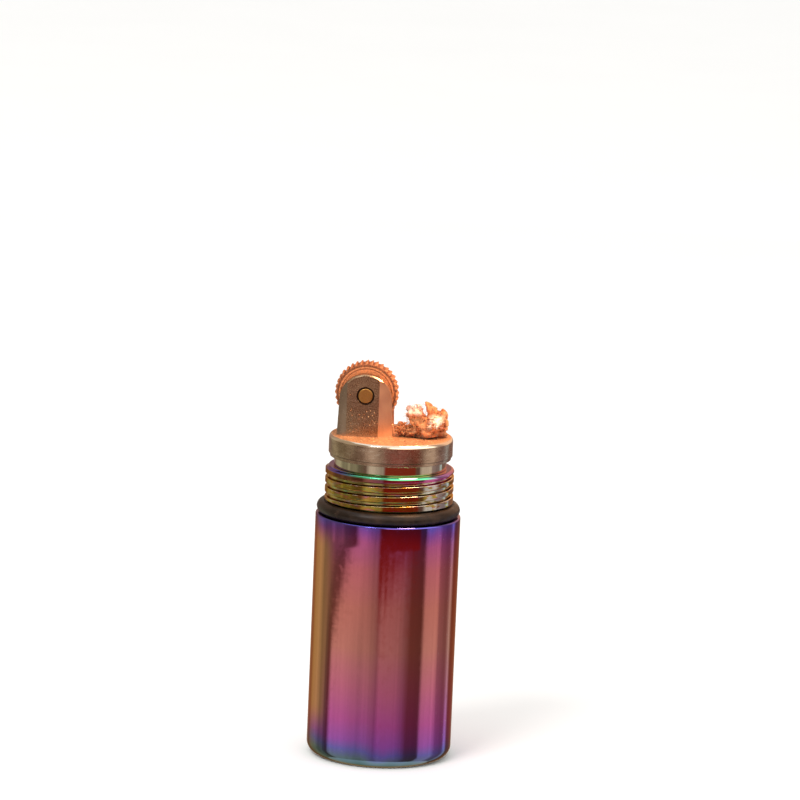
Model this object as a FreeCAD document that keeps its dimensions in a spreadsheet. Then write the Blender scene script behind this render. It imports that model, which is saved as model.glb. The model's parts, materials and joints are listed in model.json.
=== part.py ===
import FreeCAD, Part
import math
import os
import Sketcher

# A pocket fluid lighter of the screw-capped capsule kind, standing on its base with the cap off.
# A turned cup holds the fuel packing.  Its neck is threaded and carries a rubber seal ring.  A plug in
# the neck carries the flint tube, the wheel bracket and the wick, and pulls straight out for refuelling.
# Millimetres, +Z up, the origin in the middle of the base.  The spark wheel turns about the Y direction
# and stands on the -X side of the plug; the wick stands on the +X side.

# ---------------------------------------------------------------- driving dimensions

DRIVING_SIZES = {
    # fuel cup
    "body_radius": 7.5,
    "shoulder_height": 25.4,
    "floor_thickness": 1.4,
    "base_fillet": 1.2,
    "shoulder_fillet": 0.18,
    "bore_fillet": 0.5,
    "shoulder_width": 0.85,
    "neck_wall": 1.05,
    "neck_height": 5.0,
    "neck_chamfer": 0.3,
    "thread_pitch": 1.0,
    "thread_depth": 0.35,
    "thread_mouth": 0.52,
    "thread_root": 0.2,
    "thread_runout": 0.1,
    # rubber ring under the cap
    "seal_section": 0.65,
    "seal_groove_depth": 0.55,
    "seal_groove_lip": 0.15,
    "seal_clearance": 0.05,
    # plug
    "plug_clearance": 0.03,
    "plug_length": 4.0,
    "plug_wall": 0.75,
    "plug_lead": 0.3,
    "collar_width": 0.2,
    "collar_height": 1.0,
    "flange_inset": 1.1,
    "flange_height": 2.3,
    "flange_fillet": 0.4,
    "flange_lip_height": 0.35,
    "flange_lip_step": 0.15,
    "plate_thickness": 1.6,
    "tube_side_gap": 0.24,
    "wick_side_gap": 0.12,
    "wick_hole_radius": 1.4,
    "wick_hole_chamfer": 0.2,
    # wheel bracket
    "wheel_overhang": 0.6,
    "ear_draft": 0.15,
    "ear_thickness": 1.0,
    "ear_flank_depth": 0.5,
    "flank_width_to_rim": 0.8,
    "flank_width_to_wick": 1.24,
    "ear_edge_chamfer": 0.14,
    "bracket_floor": 0.8,
    "ear_top_above_axle": 2.2,
    "spigot_wall": 0.5,
    "spigot_socket_depth": 1.2,
    # spark wheel and axle
    "wheel_radius": 3.3,
    "wheel_width": 2.5,
    "wheel_side_gap": 0.15,
    "wheel_side_chamfer": 0.22,
    "wheel_teeth": 36,
    "tooth_depth": 0.3,
    "wheel_groove_depth": 0.2,
    "wheel_groove_half": 0.16,
    "wheel_groove_offset": 0.42,
    "wheel_floor_gap": 0.2,
    "axle_radius": 0.75,
    "axle_running_gap": 0.04,
    "axle_recess": 0.05,
    "axle_chamfer": 0.12,
    # flint, follower, spring, screw and their tube
    "tube_wall": 0.65,
    "tube_floor_gap": 8.2,
    "flint_radius": 1.2,
    "flint_bore_gap": 0.05,
    "flint_wheel_gap": 0.03,
    "flint_length": 4.8,
    "follower_gap": 0.1,
    "follower_head": 0.8,
    "follower_stem_radius": 0.55,
    "follower_stem": 1.5,
    "spring_wire_radius": 0.17,
    "spring_side_gap": 0.16,
    "spring_turns": 15,
    "screw_thread_step": 0.25,
    "screw_thread_gap": 0.04,
    "screw_thread_pitch": 0.5,
    "screw_thread_depth": 0.22,
    "screw_thread_mouth": 0.3,
    "screw_thread_root": 0.08,
    "screw_shank": 4.0,
    "screw_entry": 0.5,
    "screw_head": 1.0,
    "screw_head_inset": 0.05,
    "screw_slot_width": 0.55,
    "screw_slot_depth": 0.55,
    "screw_nipple": 1.2,
    # wick
    "wick_hole_gap": 0.1,
    "wick_floor_gap": 6.1,
    "tuft_rise": 3.2,
    "tuft_lift": 0.08,
    "tuft_radius": 2.2,
    "tuft_round": 0.9,
    "tuft_lean": 0.4,
    "stray_radius": 0.8,
    "stray_rise": 1.5,
    "stray_bracket_gap": 0.4,
    # packing
    "packing_side_gap": 0.1,
    "packing_channel_gap": 0.3,
    "packing_gap": 0.1,
    "packing_top_gap": 0.3,
    "packing_round": 0.6,
    "felt_thickness": 1.8,
}

WAD_NAMES = ("cotton_wad_lower", "cotton_wad_middle", "cotton_wad_upper")
PARTS_FOLDER = "parts"
FULL_TURN = 360.0


class Size:
    """A length that keeps its formula beside its value, so a feature can be bound to the sheet."""

    def __init__(self, formula, value):
        self.formula = formula
        self.value = value

    def combined(self, sign, other, value):
        return Size("(%s %s %s)" % (self.formula, sign, other.formula), value)

    def __add__(self, other):
        other = as_size(other)
        return self.combined("+", other, self.value + other.value)

    def __sub__(self, other):
        other = as_size(other)
        return self.combined("-", other, self.value - other.value)

    def __mul__(self, other):
        other = as_size(other)
        return self.combined("*", other, self.value * other.value)

    def __rmul__(self, other):
        return as_size(other) * self

    def __truediv__(self, other):
        other = as_size(other)
        return self.combined("/", other, self.value / other.value)

    def __rtruediv__(self, other):
        return as_size(other) / self

    def __neg__(self):
        return Size("(-1 * %s)" % self.formula, -self.value)


def as_size(number):
    return number if isinstance(number, Size) else Size("%.6f" % number, float(number))


def sine(degrees):
    return Size("sin(%s * 1 deg)" % degrees.formula, math.sin(math.radians(degrees.value)))


def cosine(degrees):
    return Size("cos(%s * 1 deg)" % degrees.formula, math.cos(math.radians(degrees.value)))


# ---------------------------------------------------------------- document and sheet

doc = FreeCAD.newDocument("capsule_lighter")
sheet = doc.addObject("Spreadsheet::Sheet", "Sizes")


class Sizes:
    """The sheet's values by name."""


size = Sizes()
for row, (alias, number) in enumerate(DRIVING_SIZES.items(), start=1):
    sheet.set("A%d" % row, alias.replace("_", " "))
    sheet.set("B%d" % row, str(number))
    sheet.setAlias("B%d" % row, alias)
    setattr(size, alias, Size("Sizes." + alias, float(number)))
doc.recompute()

# ---------------------------------------------------------------- sizes worked out from the driving ones

thread_crest_radius = size.body_radius - size.shoulder_width
thread_root_radius = thread_crest_radius - size.thread_depth
bore_radius = thread_crest_radius - size.neck_wall
neck_top = size.shoulder_height + size.neck_height
seal_seat_radius = thread_crest_radius - size.seal_groove_depth
seal_groove_top = size.shoulder_height + 2 * size.seal_section + size.seal_clearance

plug_radius = bore_radius - size.plug_clearance
hollow_radius = plug_radius - size.plug_wall
plug_bottom = neck_top - size.plug_length
collar_radius = bore_radius + size.collar_width
flange_radius = size.body_radius - size.flange_inset
flange_bottom = neck_top + size.collar_height
flange_top = flange_bottom + size.flange_height
plate_underside = flange_top - size.plate_thickness

tube_bore_radius = size.flint_radius + size.flint_bore_gap
tube_radius = tube_bore_radius + size.tube_wall
tube_offset = hollow_radius - tube_radius - size.tube_side_gap
wick_offset = hollow_radius - size.wick_hole_radius - size.wick_side_gap
tube_bottom = size.floor_thickness + size.tube_floor_gap
tube_top = plate_underside + size.spigot_socket_depth
spigot_radius = tube_radius + size.spigot_wall

axle_height = size.bracket_floor + size.wheel_floor_gap + size.wheel_radius
axle_level = flange_top + axle_height
ear_inner = size.wheel_width / 2 + size.wheel_side_gap
ear_outer = ear_inner + size.ear_thickness
ear_half_width = size.wheel_radius - size.wheel_overhang
ear_foot_half = ear_half_width + size.ear_draft
ear_top = axle_height + size.ear_top_above_axle
ear_round_centre = ear_top - ear_half_width

flint_low_point = axle_level - size.wheel_radius - size.flint_wheel_gap
flint_bottom = flint_low_point - size.flint_length
follower_radius = tube_bore_radius - size.follower_gap
follower_seat = flint_bottom - size.follower_head
screw_thread_bore = tube_bore_radius + size.screw_thread_step
screw_radius = screw_thread_bore - size.screw_thread_gap
screw_bore_depth = size.screw_shank + size.screw_entry
screw_top = tube_bottom + size.screw_shank
screw_head_radius = tube_radius - size.screw_head_inset
spring_mean_radius = tube_bore_radius - size.spring_side_gap - size.spring_wire_radius

wick_radius = size.wick_hole_radius - size.wick_hole_gap
wick_bottom = size.floor_thickness + size.wick_floor_gap
tuft_offset = wick_offset + size.tuft_lean
stray_offset = size.stray_radius + size.stray_bracket_gap + ear_foot_half - tube_offset

packing_radius = bore_radius - size.packing_side_gap
felt_top = plug_bottom - size.packing_top_gap
felt_bottom = felt_top - size.felt_thickness
packing_bottom = size.floor_thickness + size.packing_gap
wad_pitch = (felt_bottom - packing_bottom) / len(WAD_NAMES)
tube_channel_radius = tube_radius + size.packing_channel_gap
wick_channel_radius = wick_radius + size.packing_channel_gap

# ---------------------------------------------------------------- modelling helpers


def bind(feature, path, amount):
    """Ties one property, or one sketch constraint, to the sheet."""
    feature.setExpression(path, as_size(amount).formula)


def new_body(label, x=0, y=0, z=0):
    body = doc.addObject("PartDesign::Body", label)
    body.Label = label
    for axis, amount in zip("xyz", (x, y, z)):
        bind(body, "Placement.Base." + axis, amount)
    return body


def origin_plane(body, role):
    return next(item for item in body.Origin.OriginFeatures if item.Role == role)


def new_sketch(body, name, role, lift=0):
    sketch = body.newObject("Sketcher::SketchObject", name)
    sketch.AttachmentSupport = (origin_plane(body, role), [""])
    sketch.MapMode = "FlatFace"
    bind(sketch, "AttachmentOffset.Base.z", lift)
    return sketch


def pin_point(sketch, geometry, end, x=None, y=None):
    """Holds one point of a sketch at a distance from the sketch's own origin."""
    for letter, amount in (("X", x), ("Y", y)):
        if amount is None:
            continue
        amount = as_size(amount)
        index = sketch.addConstraint(
            Sketcher.Constraint("Distance" + letter, -1, 1, geometry, end, amount.value)
        )
        name = "%s_%d_%d" % (letter.lower(), geometry, end)
        sketch.renameConstraint(index, name)
        bind(sketch, "Constraints." + name, amount)


def add_outline(sketch, corners, arcs=()):
    """A closed outline through (x, y) corners.  arcs maps a corner's number to the level of the centre
    of the arc that runs anticlockwise from it to the next corner, both at the same level."""
    arcs = dict(arcs)
    first = sketch.GeometryCount
    points = [FreeCAD.Vector(as_size(x).value, as_size(y).value, 0) for x, y in corners]
    for number, start in enumerate(points):
        finish = points[(number + 1) % len(points)]
        if number in arcs:
            centre = FreeCAD.Vector((start.x + finish.x) / 2, as_size(arcs[number]).value, 0)
            circle = Part.Circle(centre, FreeCAD.Vector(0, 0, 1), (start - centre).Length)
            span = [math.atan2(p.y - centre.y, p.x - centre.x) for p in (start, finish)]
            sketch.addGeometry(Part.ArcOfCircle(circle, span[0], span[1]), False)
        else:
            sketch.addGeometry(Part.LineSegment(start, finish), False)
    for number in range(len(points)):
        after = first + (number + 1) % len(points)
        sketch.addConstraint(Sketcher.Constraint("Coincident", first + number, 2, after, 1))
    for number, (x, y) in enumerate(corners):
        pin_point(sketch, first + number, 1, x, y)
    for number, level in arcs.items():
        pin_point(sketch, first + number, 3, y=level)


def add_circle(sketch, x, y, radius):
    x, y, radius = as_size(x), as_size(y), as_size(radius)
    centre = FreeCAD.Vector(x.value, y.value, 0)
    number = sketch.addGeometry(Part.Circle(centre, FreeCAD.Vector(0, 0, 1), radius.value), False)
    pin_point(sketch, number, 3, x, y)
    index = sketch.addConstraint(Sketcher.Constraint("Radius", number, radius.value))
    sketch.renameConstraint(index, "radius_%d" % number)
    bind(sketch, "Constraints.radius_%d" % number, radius)


def revolve(body, name, corners, kind="PartDesign::Revolution", role="XZ_Plane"):
    """Turns an outline about the sketch's upright axis, to add material or, as a Groove, to cut it."""
    sketch = new_sketch(body, name + "_outline", role)
    add_outline(sketch, corners)
    feature = body.newObject(kind, name)
    feature.Profile = sketch
    feature.ReferenceAxis = (sketch, ["V_Axis"])
    feature.Angle = FULL_TURN
    doc.recompute()
    return feature


def pad(body, name, sketch, length, symmetric=False):
    feature = body.newObject("PartDesign::Pad", name)
    feature.Profile = sketch
    feature.SideType = "Symmetric" if symmetric else "One side"
    bind(feature, "Length", length)
    doc.recompute()
    return feature


def pocket(body, name, sketch, length, symmetric=False, reverse=False):
    """Cuts, and makes sure that something was cut."""
    before = body.Shape.Volume
    feature = body.newObject("PartDesign::Pocket", name)
    feature.Profile = sketch
    feature.SideType = "Symmetric" if symmetric else "One side"
    feature.Reversed = reverse
    bind(feature, "Length", length)
    doc.recompute()
    require_cut(body, name, before)
    return feature


def require_cut(body, name, volume_before):
    if not body.Shape.Volume < volume_before:
        raise ValueError("%s cut nothing from %s" % (name, body.Label))


def helical_cut(body, name, corners, pitch, height):
    """A right-handed thread's groove, cut by an outline that climbs about the body's upright axis."""
    before = body.Shape.Volume
    sketch = new_sketch(body, name + "_outline", "XZ_Plane")
    add_outline(sketch, corners)
    feature = body.newObject("PartDesign::SubtractiveHelix", name)
    feature.Profile = sketch
    feature.ReferenceAxis = (sketch, ["V_Axis"])
    feature.Mode = "pitch-height-angle"
    bind(feature, "Pitch", pitch)
    bind(feature, "Height", height)
    doc.recompute()
    require_cut(body, name, before)
    return feature


def is_ring(radius, level, along="z", tolerance=1e-4):
    """Picks circular edges of this radius whose centre lies at this level along one axis."""

    def test(edge):
        curve = edge.Curve
        if not isinstance(curve, Part.Circle):
            return False
        matches = abs(curve.Radius - as_size(radius).value) < tolerance
        return matches and abs(getattr(curve.Center, along) - as_size(level).value) < tolerance

    return test


def dress(body, name, kind, amount, picks):
    """A fillet or a chamfer on the edges that any of the picks chooses."""
    base = body.Tip
    names = [
        "Edge%d" % (number + 1)
        for number, edge in enumerate(base.Shape.Edges)
        if any(pick(edge) for pick in picks)
    ]
    if not names:
        raise ValueError("%s found no edge on %s" % (name, body.Label))
    feature = body.newObject(kind, name)
    feature.Base = (base, names)
    bind(feature, "Radius" if kind.endswith("Fillet") else "Size", amount)
    doc.recompute()
    return feature


def fillet(body, name, radius, *picks):
    return dress(body, name, "PartDesign::Fillet", radius, picks)


def chamfer(body, name, width, *picks):
    return dress(body, name, "PartDesign::Chamfer", width, picks)


# ---------------------------------------------------------------- fuel cup and its seal ring


def make_fuel_cup():
    body = new_body("fuel_cup")
    groove_lip = seal_groove_top + size.seal_groove_lip
    revolve(
        body,
        "cup",
        [
            (0, 0),
            (size.body_radius, 0),
            (size.body_radius, size.shoulder_height),
            (seal_seat_radius, size.shoulder_height),
            (seal_seat_radius, seal_groove_top),
            (thread_crest_radius, groove_lip),
            (thread_crest_radius, neck_top - size.neck_chamfer),
            (thread_crest_radius - size.neck_chamfer, neck_top),
            (bore_radius, neck_top),
            (bore_radius, size.floor_thickness),
            (0, size.floor_thickness),
        ],
    )
    fillet(body, "base_edge", size.base_fillet, is_ring(size.body_radius, 0))
    fillet(body, "shoulder_edge", size.shoulder_fillet, is_ring(size.body_radius, size.shoulder_height))
    fillet(body, "bore_corner", size.bore_fillet, is_ring(bore_radius, size.floor_thickness))
    # The groove starts in the seal's relief and runs out above the neck.
    start = seal_groove_top + size.thread_runout
    clear_radius = thread_crest_radius + size.thread_depth
    mouth_at_clear = size.thread_mouth + (size.thread_mouth - size.thread_root)
    helical_cut(
        body,
        "cap_thread",
        [
            (thread_root_radius, start - size.thread_root / 2),
            (clear_radius, start - mouth_at_clear / 2),
            (clear_radius, start + mouth_at_clear / 2),
            (thread_root_radius, start + size.thread_root / 2),
        ],
        size.thread_pitch,
        neck_top + size.thread_mouth - start,
    )
    return body


def make_seal_ring():
    body = new_body("cap_seal_ring")
    sketch = new_sketch(body, "ring_section", "XZ_Plane")
    add_circle(
        sketch,
        seal_seat_radius + size.seal_section,
        size.shoulder_height + size.seal_section,
        size.seal_section,
    )
    feature = body.newObject("PartDesign::Revolution", "ring")
    feature.Profile = sketch
    feature.ReferenceAxis = (sketch, ["V_Axis"])
    feature.Angle = FULL_TURN
    doc.recompute()
    return body


# ---------------------------------------------------------------- plug


def make_plug():
    body = new_body("plug")
    lip_radius = flange_radius - size.flange_lip_step
    lip_top = flange_bottom + size.flange_lip_height
    revolve(
        body,
        "plug_turning",
        [
            (0, plate_underside),
            (hollow_radius, plate_underside),
            (hollow_radius, plug_bottom),
            (plug_radius - size.plug_lead, plug_bottom),
            (plug_radius, plug_bottom + size.plug_lead),
            (plug_radius, neck_top),
            (collar_radius, neck_top),
            (collar_radius, flange_bottom),
            (lip_radius, flange_bottom),
            (lip_radius, lip_top),
            (flange_radius, lip_top),
            (flange_radius, flange_top),
            (0, flange_top),
        ],
    )
    fillet(body, "flange_edge", size.flange_fillet, is_ring(flange_radius, flange_top))
    holes = new_sketch(body, "plate_holes", "XY_Plane", flange_top)
    add_circle(holes, -tube_offset, 0, spigot_radius)
    add_circle(holes, wick_offset, 0, size.wick_hole_radius)
    pocket(body, "plate_bores", holes, 2 * size.plate_thickness)
    chamfer(
        body,
        "wick_hole_edge",
        size.wick_hole_chamfer,
        is_ring(size.wick_hole_radius, flange_top),
    )
    return body


# ---------------------------------------------------------------- wheel bracket, wheel and axle


def make_bracket():
    """Two ears on a foot, with a spigot below that presses into the plug and takes the flint tube.
    Its own origin is on the plug's top face, on the axis of the flint tube."""
    body = new_body("wheel_bracket", x=-tube_offset, z=flange_top)
    foot, half = ear_foot_half, ear_half_width
    block = new_sketch(body, "ear_outline", "XZ_Plane")
    add_outline(
        block,
        [(-foot, 0), (foot, 0), (half, ear_round_centre), (-half, ear_round_centre)],
        arcs={2: ear_round_centre},
    )
    pad(body, "ear_block", block, 2 * ear_outer, symmetric=True)

    slot = new_sketch(body, "wheel_slot_outline", "XZ_Plane")
    above = ear_top + size.bracket_floor
    beyond = foot + size.bracket_floor
    add_outline(
        slot,
        [
            (-beyond, size.bracket_floor),
            (beyond, size.bracket_floor),
            (beyond, above),
            (-beyond, above),
        ],
    )
    pocket(body, "wheel_slot", slot, 2 * ear_inner, symmetric=True)

    flanks = new_sketch(body, "flank_outlines", "XY_Plane")
    depth = size.ear_flank_depth
    for side, flank_width in ((-1, size.flank_width_to_rim), (1, size.flank_width_to_wick)):
        flat = half - flank_width
        for face in (-1, 1):
            add_outline(
                flanks,
                [
                    (side * flat, face * ear_outer),
                    (side * foot, face * ear_outer),
                    (side * foot, face * (ear_outer - depth)),
                ],
            )
    pocket(body, "flanks", flanks, above, reverse=True)

    spigot = new_sketch(body, "spigot_outline", "XY_Plane", -size.plate_thickness)
    add_circle(spigot, 0, 0, spigot_radius)
    pad(body, "spigot", spigot, size.plate_thickness)

    socket = new_sketch(body, "socket_outline", "XY_Plane", -size.plate_thickness)
    add_circle(socket, 0, 0, tube_radius)
    pocket(body, "tube_socket", socket, size.spigot_socket_depth, reverse=True)

    bore = new_sketch(body, "flint_bore_outline", "XY_Plane", -size.plate_thickness)
    add_circle(bore, 0, 0, tube_bore_radius)
    pocket(body, "flint_bore", bore, size.plate_thickness + 2 * size.bracket_floor, reverse=True)

    axle_hole = new_sketch(body, "axle_hole_outline", "XZ_Plane")
    add_circle(axle_hole, 0, axle_height, size.axle_radius)
    pocket(body, "axle_hole", axle_hole, 4 * ear_outer, symmetric=True)

    outer_faces = [
        is_ring(radius, face * ear_outer, along="y")
        for radius in (size.axle_radius, half)
        for face in (-1, 1)
    ]
    chamfer(body, "ear_edges", size.ear_edge_chamfer, *outer_faces)
    return body


def make_spark_wheel():
    """A saw-toothed hardened wheel; its teeth bite as the top of the wheel is thumbed towards -X.
    Two turned grooves part the teeth into three rows."""
    body = new_body("spark_wheel", x=-tube_offset, z=axle_level)
    blank = new_sketch(body, "blank_outline", "XZ_Plane")
    add_circle(blank, 0, 0, size.wheel_radius)
    add_circle(blank, 0, 0, size.axle_radius + size.axle_running_gap)
    pad(body, "blank", blank, size.wheel_width, symmetric=True)
    sides = [is_ring(size.wheel_radius, face * size.wheel_width / 2, along="y") for face in (-1, 1)]
    chamfer(body, "rim_edges", size.wheel_side_chamfer, *sides)

    for face in (-1, 1):
        middle = face * size.wheel_groove_offset
        top = size.wheel_radius + size.wheel_groove_depth
        revolve(
            body,
            "rim_groove_front" if face < 0 else "rim_groove_back",
            [
                (size.wheel_radius - size.wheel_groove_depth, middle),
                (top, middle - 2 * size.wheel_groove_half),
                (top, middle + 2 * size.wheel_groove_half),
            ],
            kind="PartDesign::Groove",
            role="XY_Plane",
        )

    notch = new_sketch(body, "tooth_gap_outline", "XZ_Plane")
    step = FULL_TURN / size.wheel_teeth
    outside = size.wheel_radius + size.tooth_depth
    root = size.wheel_radius - size.tooth_depth
    add_outline(
        notch,
        [
            (0, root),
            (0, outside),
            (-outside * sine(step), outside * cosine(step)),
            (-size.wheel_radius * sine(step), size.wheel_radius * cosine(step)),
        ],
    )
    gap = pocket(body, "tooth_gap", notch, 2 * size.wheel_width, symmetric=True)
    before = body.Shape.Volume
    teeth = body.newObject("PartDesign::PolarPattern", "teeth")
    teeth.Originals = [gap]
    teeth.Axis = (origin_plane(body, "Y_Axis"), [""])
    teeth.Angle = FULL_TURN
    bind(teeth, "Occurrences", size.wheel_teeth)
    body.Tip = teeth
    doc.recompute()
    require_cut(body, "teeth", before)
    return body


def make_axle():
    body = new_body("wheel_axle", x=-tube_offset, z=axle_level)
    section = new_sketch(body, "pin_outline", "XZ_Plane")
    add_circle(section, 0, 0, size.axle_radius)
    reach = ear_outer - size.axle_recess
    pad(body, "pin", section, 2 * reach, symmetric=True)
    ends = [is_ring(size.axle_radius, face * reach, along="y") for face in (-1, 1)]
    chamfer(body, "pin_ends", size.axle_chamfer, *ends)
    return body


# ---------------------------------------------------------------- flint train


def make_flint_tube():
    body = new_body("flint_tube", x=-tube_offset)
    revolve(
        body,
        "tube",
        [
            (screw_thread_bore, tube_bottom),
            (tube_radius, tube_bottom),
            (tube_radius, tube_top),
            (tube_bore_radius, tube_top),
            (tube_bore_radius, tube_bottom + screw_bore_depth),
            (screw_thread_bore, tube_bottom + screw_bore_depth),
        ],
    )
    return body


def make_flint():
    """A rod of sparking alloy, its top worn hollow to the curve of the wheel."""
    body = new_body("flint", x=-tube_offset, z=flint_bottom)
    section = new_sketch(body, "rod_outline", "XY_Plane")
    add_circle(section, 0, 0, size.flint_radius)
    pad(body, "rod", section, size.flint_length + size.wheel_radius)
    worn = new_sketch(body, "worn_outline", "XZ_Plane")
    wear_radius = size.wheel_radius + size.flint_wheel_gap
    add_circle(worn, 0, size.flint_length + wear_radius, wear_radius)
    pocket(body, "worn_top", worn, 4 * size.flint_radius, symmetric=True)
    return body


def make_follower():
    body = new_body("flint_follower", x=-tube_offset, z=follower_seat)
    revolve(
        body,
        "follower",
        [
            (0, -size.follower_stem),
            (size.follower_stem_radius, -size.follower_stem),
            (size.follower_stem_radius, 0),
            (follower_radius, 0),
            (follower_radius, size.follower_head),
            (0, size.follower_head),
        ],
    )
    return body


def make_spring():
    """Round wire wound about the tube's axis, from the screw's shank to the follower."""
    body = new_body("flint_spring", x=-tube_offset, z=screw_top)
    wire = new_sketch(body, "wire_section", "XZ_Plane")
    add_circle(wire, spring_mean_radius, size.spring_wire_radius, size.spring_wire_radius)
    coil = body.newObject("PartDesign::AdditiveHelix", "coil")
    coil.Profile = wire
    coil.ReferenceAxis = (wire, ["V_Axis"])
    coil.Mode = "height-turns-angle"
    bind(coil, "Height", follower_seat - screw_top - 2 * size.spring_wire_radius)
    bind(coil, "Turns", size.spring_turns)
    doc.recompute()
    return body


def make_flint_screw():
    """Slotted screw that closes the tube; the spring is crimped on its nipple."""
    body = new_body("flint_screw", x=-tube_offset, z=tube_bottom)
    revolve(
        body,
        "screw_turning",
        [
            (0, -size.screw_head),
            (screw_head_radius, -size.screw_head),
            (screw_head_radius, 0),
            (screw_radius, 0),
            (screw_radius, size.screw_shank),
            (size.follower_stem_radius, size.screw_shank),
            (size.follower_stem_radius, size.screw_shank + size.screw_nipple),
            (0, size.screw_shank + size.screw_nipple),
        ],
    )
    slot = new_sketch(body, "slot_outline", "XZ_Plane")
    half = size.screw_slot_width / 2
    add_outline(
        slot,
        [
            (-half, -2 * size.screw_head),
            (half, -2 * size.screw_head),
            (half, size.screw_slot_depth - size.screw_head),
            (-half, size.screw_slot_depth - size.screw_head),
        ],
    )
    pocket(body, "driver_slot", slot, 4 * screw_head_radius, symmetric=True)
    root_radius = screw_radius - size.screw_thread_depth
    clear_radius = screw_radius + size.screw_thread_depth
    mouth_at_clear = 2 * size.screw_thread_mouth - size.screw_thread_root
    start = size.screw_thread_pitch
    helical_cut(
        body,
        "screw_thread",
        [
            (root_radius, start - size.screw_thread_root / 2),
            (clear_radius, start - mouth_at_clear / 2),
            (clear_radius, start + mouth_at_clear / 2),
            (root_radius, start + size.screw_thread_root / 2),
        ],
        size.screw_thread_pitch,
        size.screw_shank + size.screw_thread_mouth - start,
    )
    return body


# ---------------------------------------------------------------- wick


def make_wick():
    """Braided cotton: a straight stem through the plug, and the frayed tuft that burns, which leans
    away from the wheel and has a stray lump that lies towards the bracket.  Its own origin is on the
    axis of the tuft, where the tuft rests on the plug."""
    level = flange_top + size.tuft_lift
    body = new_body("wick", x=tuft_offset, z=level)
    stem_length = level - wick_bottom
    stem = new_sketch(body, "stem_outline", "XY_Plane", -stem_length)
    add_circle(stem, -size.tuft_lean, 0, wick_radius)
    pad(body, "stem", stem, stem_length + size.tuft_rise / 2)

    tuft = new_sketch(body, "tuft_outline", "XY_Plane")
    add_circle(tuft, 0, 0, size.tuft_radius)
    pad(body, "tuft", tuft, size.tuft_rise)
    tuft_rims = [is_ring(size.tuft_radius, 0), is_ring(size.tuft_radius, size.tuft_rise)]
    fillet(body, "tuft_edges", size.tuft_round, *tuft_rims)

    reach = tuft_offset - stray_offset
    stray_end = new_sketch(body, "stray_end_outline", "XY_Plane")
    add_circle(stray_end, -reach, 0, size.stray_radius)
    pad(body, "stray_end", stray_end, size.stray_rise)
    stray = new_sketch(body, "stray_outline", "XY_Plane")
    add_outline(
        stray,
        [
            (-reach, -size.stray_radius),
            (0, -size.stray_radius),
            (0, size.stray_radius),
            (-reach, size.stray_radius),
        ],
    )
    pad(body, "stray", stray, size.stray_rise)
    return body


# ---------------------------------------------------------------- packing


def make_packing(label, bottom, height, round_edges):
    """A plug of fibre with a way through for the flint tube and another for the wick."""
    body = new_body(label, z=bottom)
    section = new_sketch(body, "packing_outline", "XY_Plane")
    add_circle(section, 0, 0, packing_radius)
    pad(body, "packing", section, height)
    if round_edges:
        rims = [is_ring(packing_radius, 0), is_ring(packing_radius, height)]
        fillet(body, "packing_edges", size.packing_round, *rims)
    ways = new_sketch(body, "ways_outline", "XY_Plane")
    add_circle(ways, -tube_offset, 0, tube_channel_radius)
    add_circle(ways, wick_offset, 0, wick_channel_radius)
    pocket(body, "ways", ways, height, reverse=True)
    return body


# ---------------------------------------------------------------- build, check and write

pieces = [
    make_fuel_cup(),
    make_seal_ring(),
    make_plug(),
    make_bracket(),
    make_spark_wheel(),
    make_axle(),
    make_flint_tube(),
    make_flint(),
    make_follower(),
    make_spring(),
    make_flint_screw(),
    make_wick(),
    make_packing("felt_pad", felt_bottom, size.felt_thickness, round_edges=False),
]
for order, wad_name in enumerate(WAD_NAMES):
    wad_bottom = packing_bottom + order * wad_pitch
    pieces.append(make_packing(wad_name, wad_bottom, wad_pitch - size.packing_gap, round_edges=True))

doc.recompute()
for item in doc.Objects:
    if "Invalid" in item.State or "Error" in item.State:
        raise ValueError("%s did not build: %s" % (item.Label, item.State))

os.makedirs(PARTS_FOLDER, exist_ok=True)
for piece in pieces:
    shape = piece.Shape
    if shape.isNull() or not shape.isValid() or not shape.Solids:
        raise ValueError("%s has no valid solid" % piece.Label)
    shape.exportStep(os.path.join(PARTS_FOLDER, piece.Label + ".step"))
    print("%-18s %d solid(s) %9.2f mm3" % (piece.Label, len(shape.Solids), shape.Volume))
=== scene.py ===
import bmesh
import bpy
import json
import math
import random
from mathutils import Matrix, Vector, noise
from mathutils.geometry import interpolate_bezier

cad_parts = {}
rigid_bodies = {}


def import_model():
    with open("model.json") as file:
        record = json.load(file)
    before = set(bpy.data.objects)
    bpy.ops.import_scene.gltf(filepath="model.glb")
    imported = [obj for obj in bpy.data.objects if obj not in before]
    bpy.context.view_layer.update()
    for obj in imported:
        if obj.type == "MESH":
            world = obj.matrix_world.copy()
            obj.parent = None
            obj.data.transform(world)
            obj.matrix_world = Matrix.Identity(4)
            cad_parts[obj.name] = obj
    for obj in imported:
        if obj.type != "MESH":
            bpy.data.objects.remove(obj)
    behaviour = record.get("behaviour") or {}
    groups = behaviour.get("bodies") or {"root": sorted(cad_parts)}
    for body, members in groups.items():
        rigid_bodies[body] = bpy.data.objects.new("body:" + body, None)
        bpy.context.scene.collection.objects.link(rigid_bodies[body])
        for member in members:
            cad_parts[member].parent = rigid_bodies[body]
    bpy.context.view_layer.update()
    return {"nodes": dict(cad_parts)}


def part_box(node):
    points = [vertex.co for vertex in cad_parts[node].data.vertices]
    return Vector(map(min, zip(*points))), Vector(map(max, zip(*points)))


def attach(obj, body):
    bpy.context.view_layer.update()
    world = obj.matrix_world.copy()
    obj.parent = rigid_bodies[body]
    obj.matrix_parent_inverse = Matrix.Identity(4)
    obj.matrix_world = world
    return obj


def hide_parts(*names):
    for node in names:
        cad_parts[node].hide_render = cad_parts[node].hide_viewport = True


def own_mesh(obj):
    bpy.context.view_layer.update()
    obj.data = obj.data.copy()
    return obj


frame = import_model()
nodes = frame["nodes"]

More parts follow.
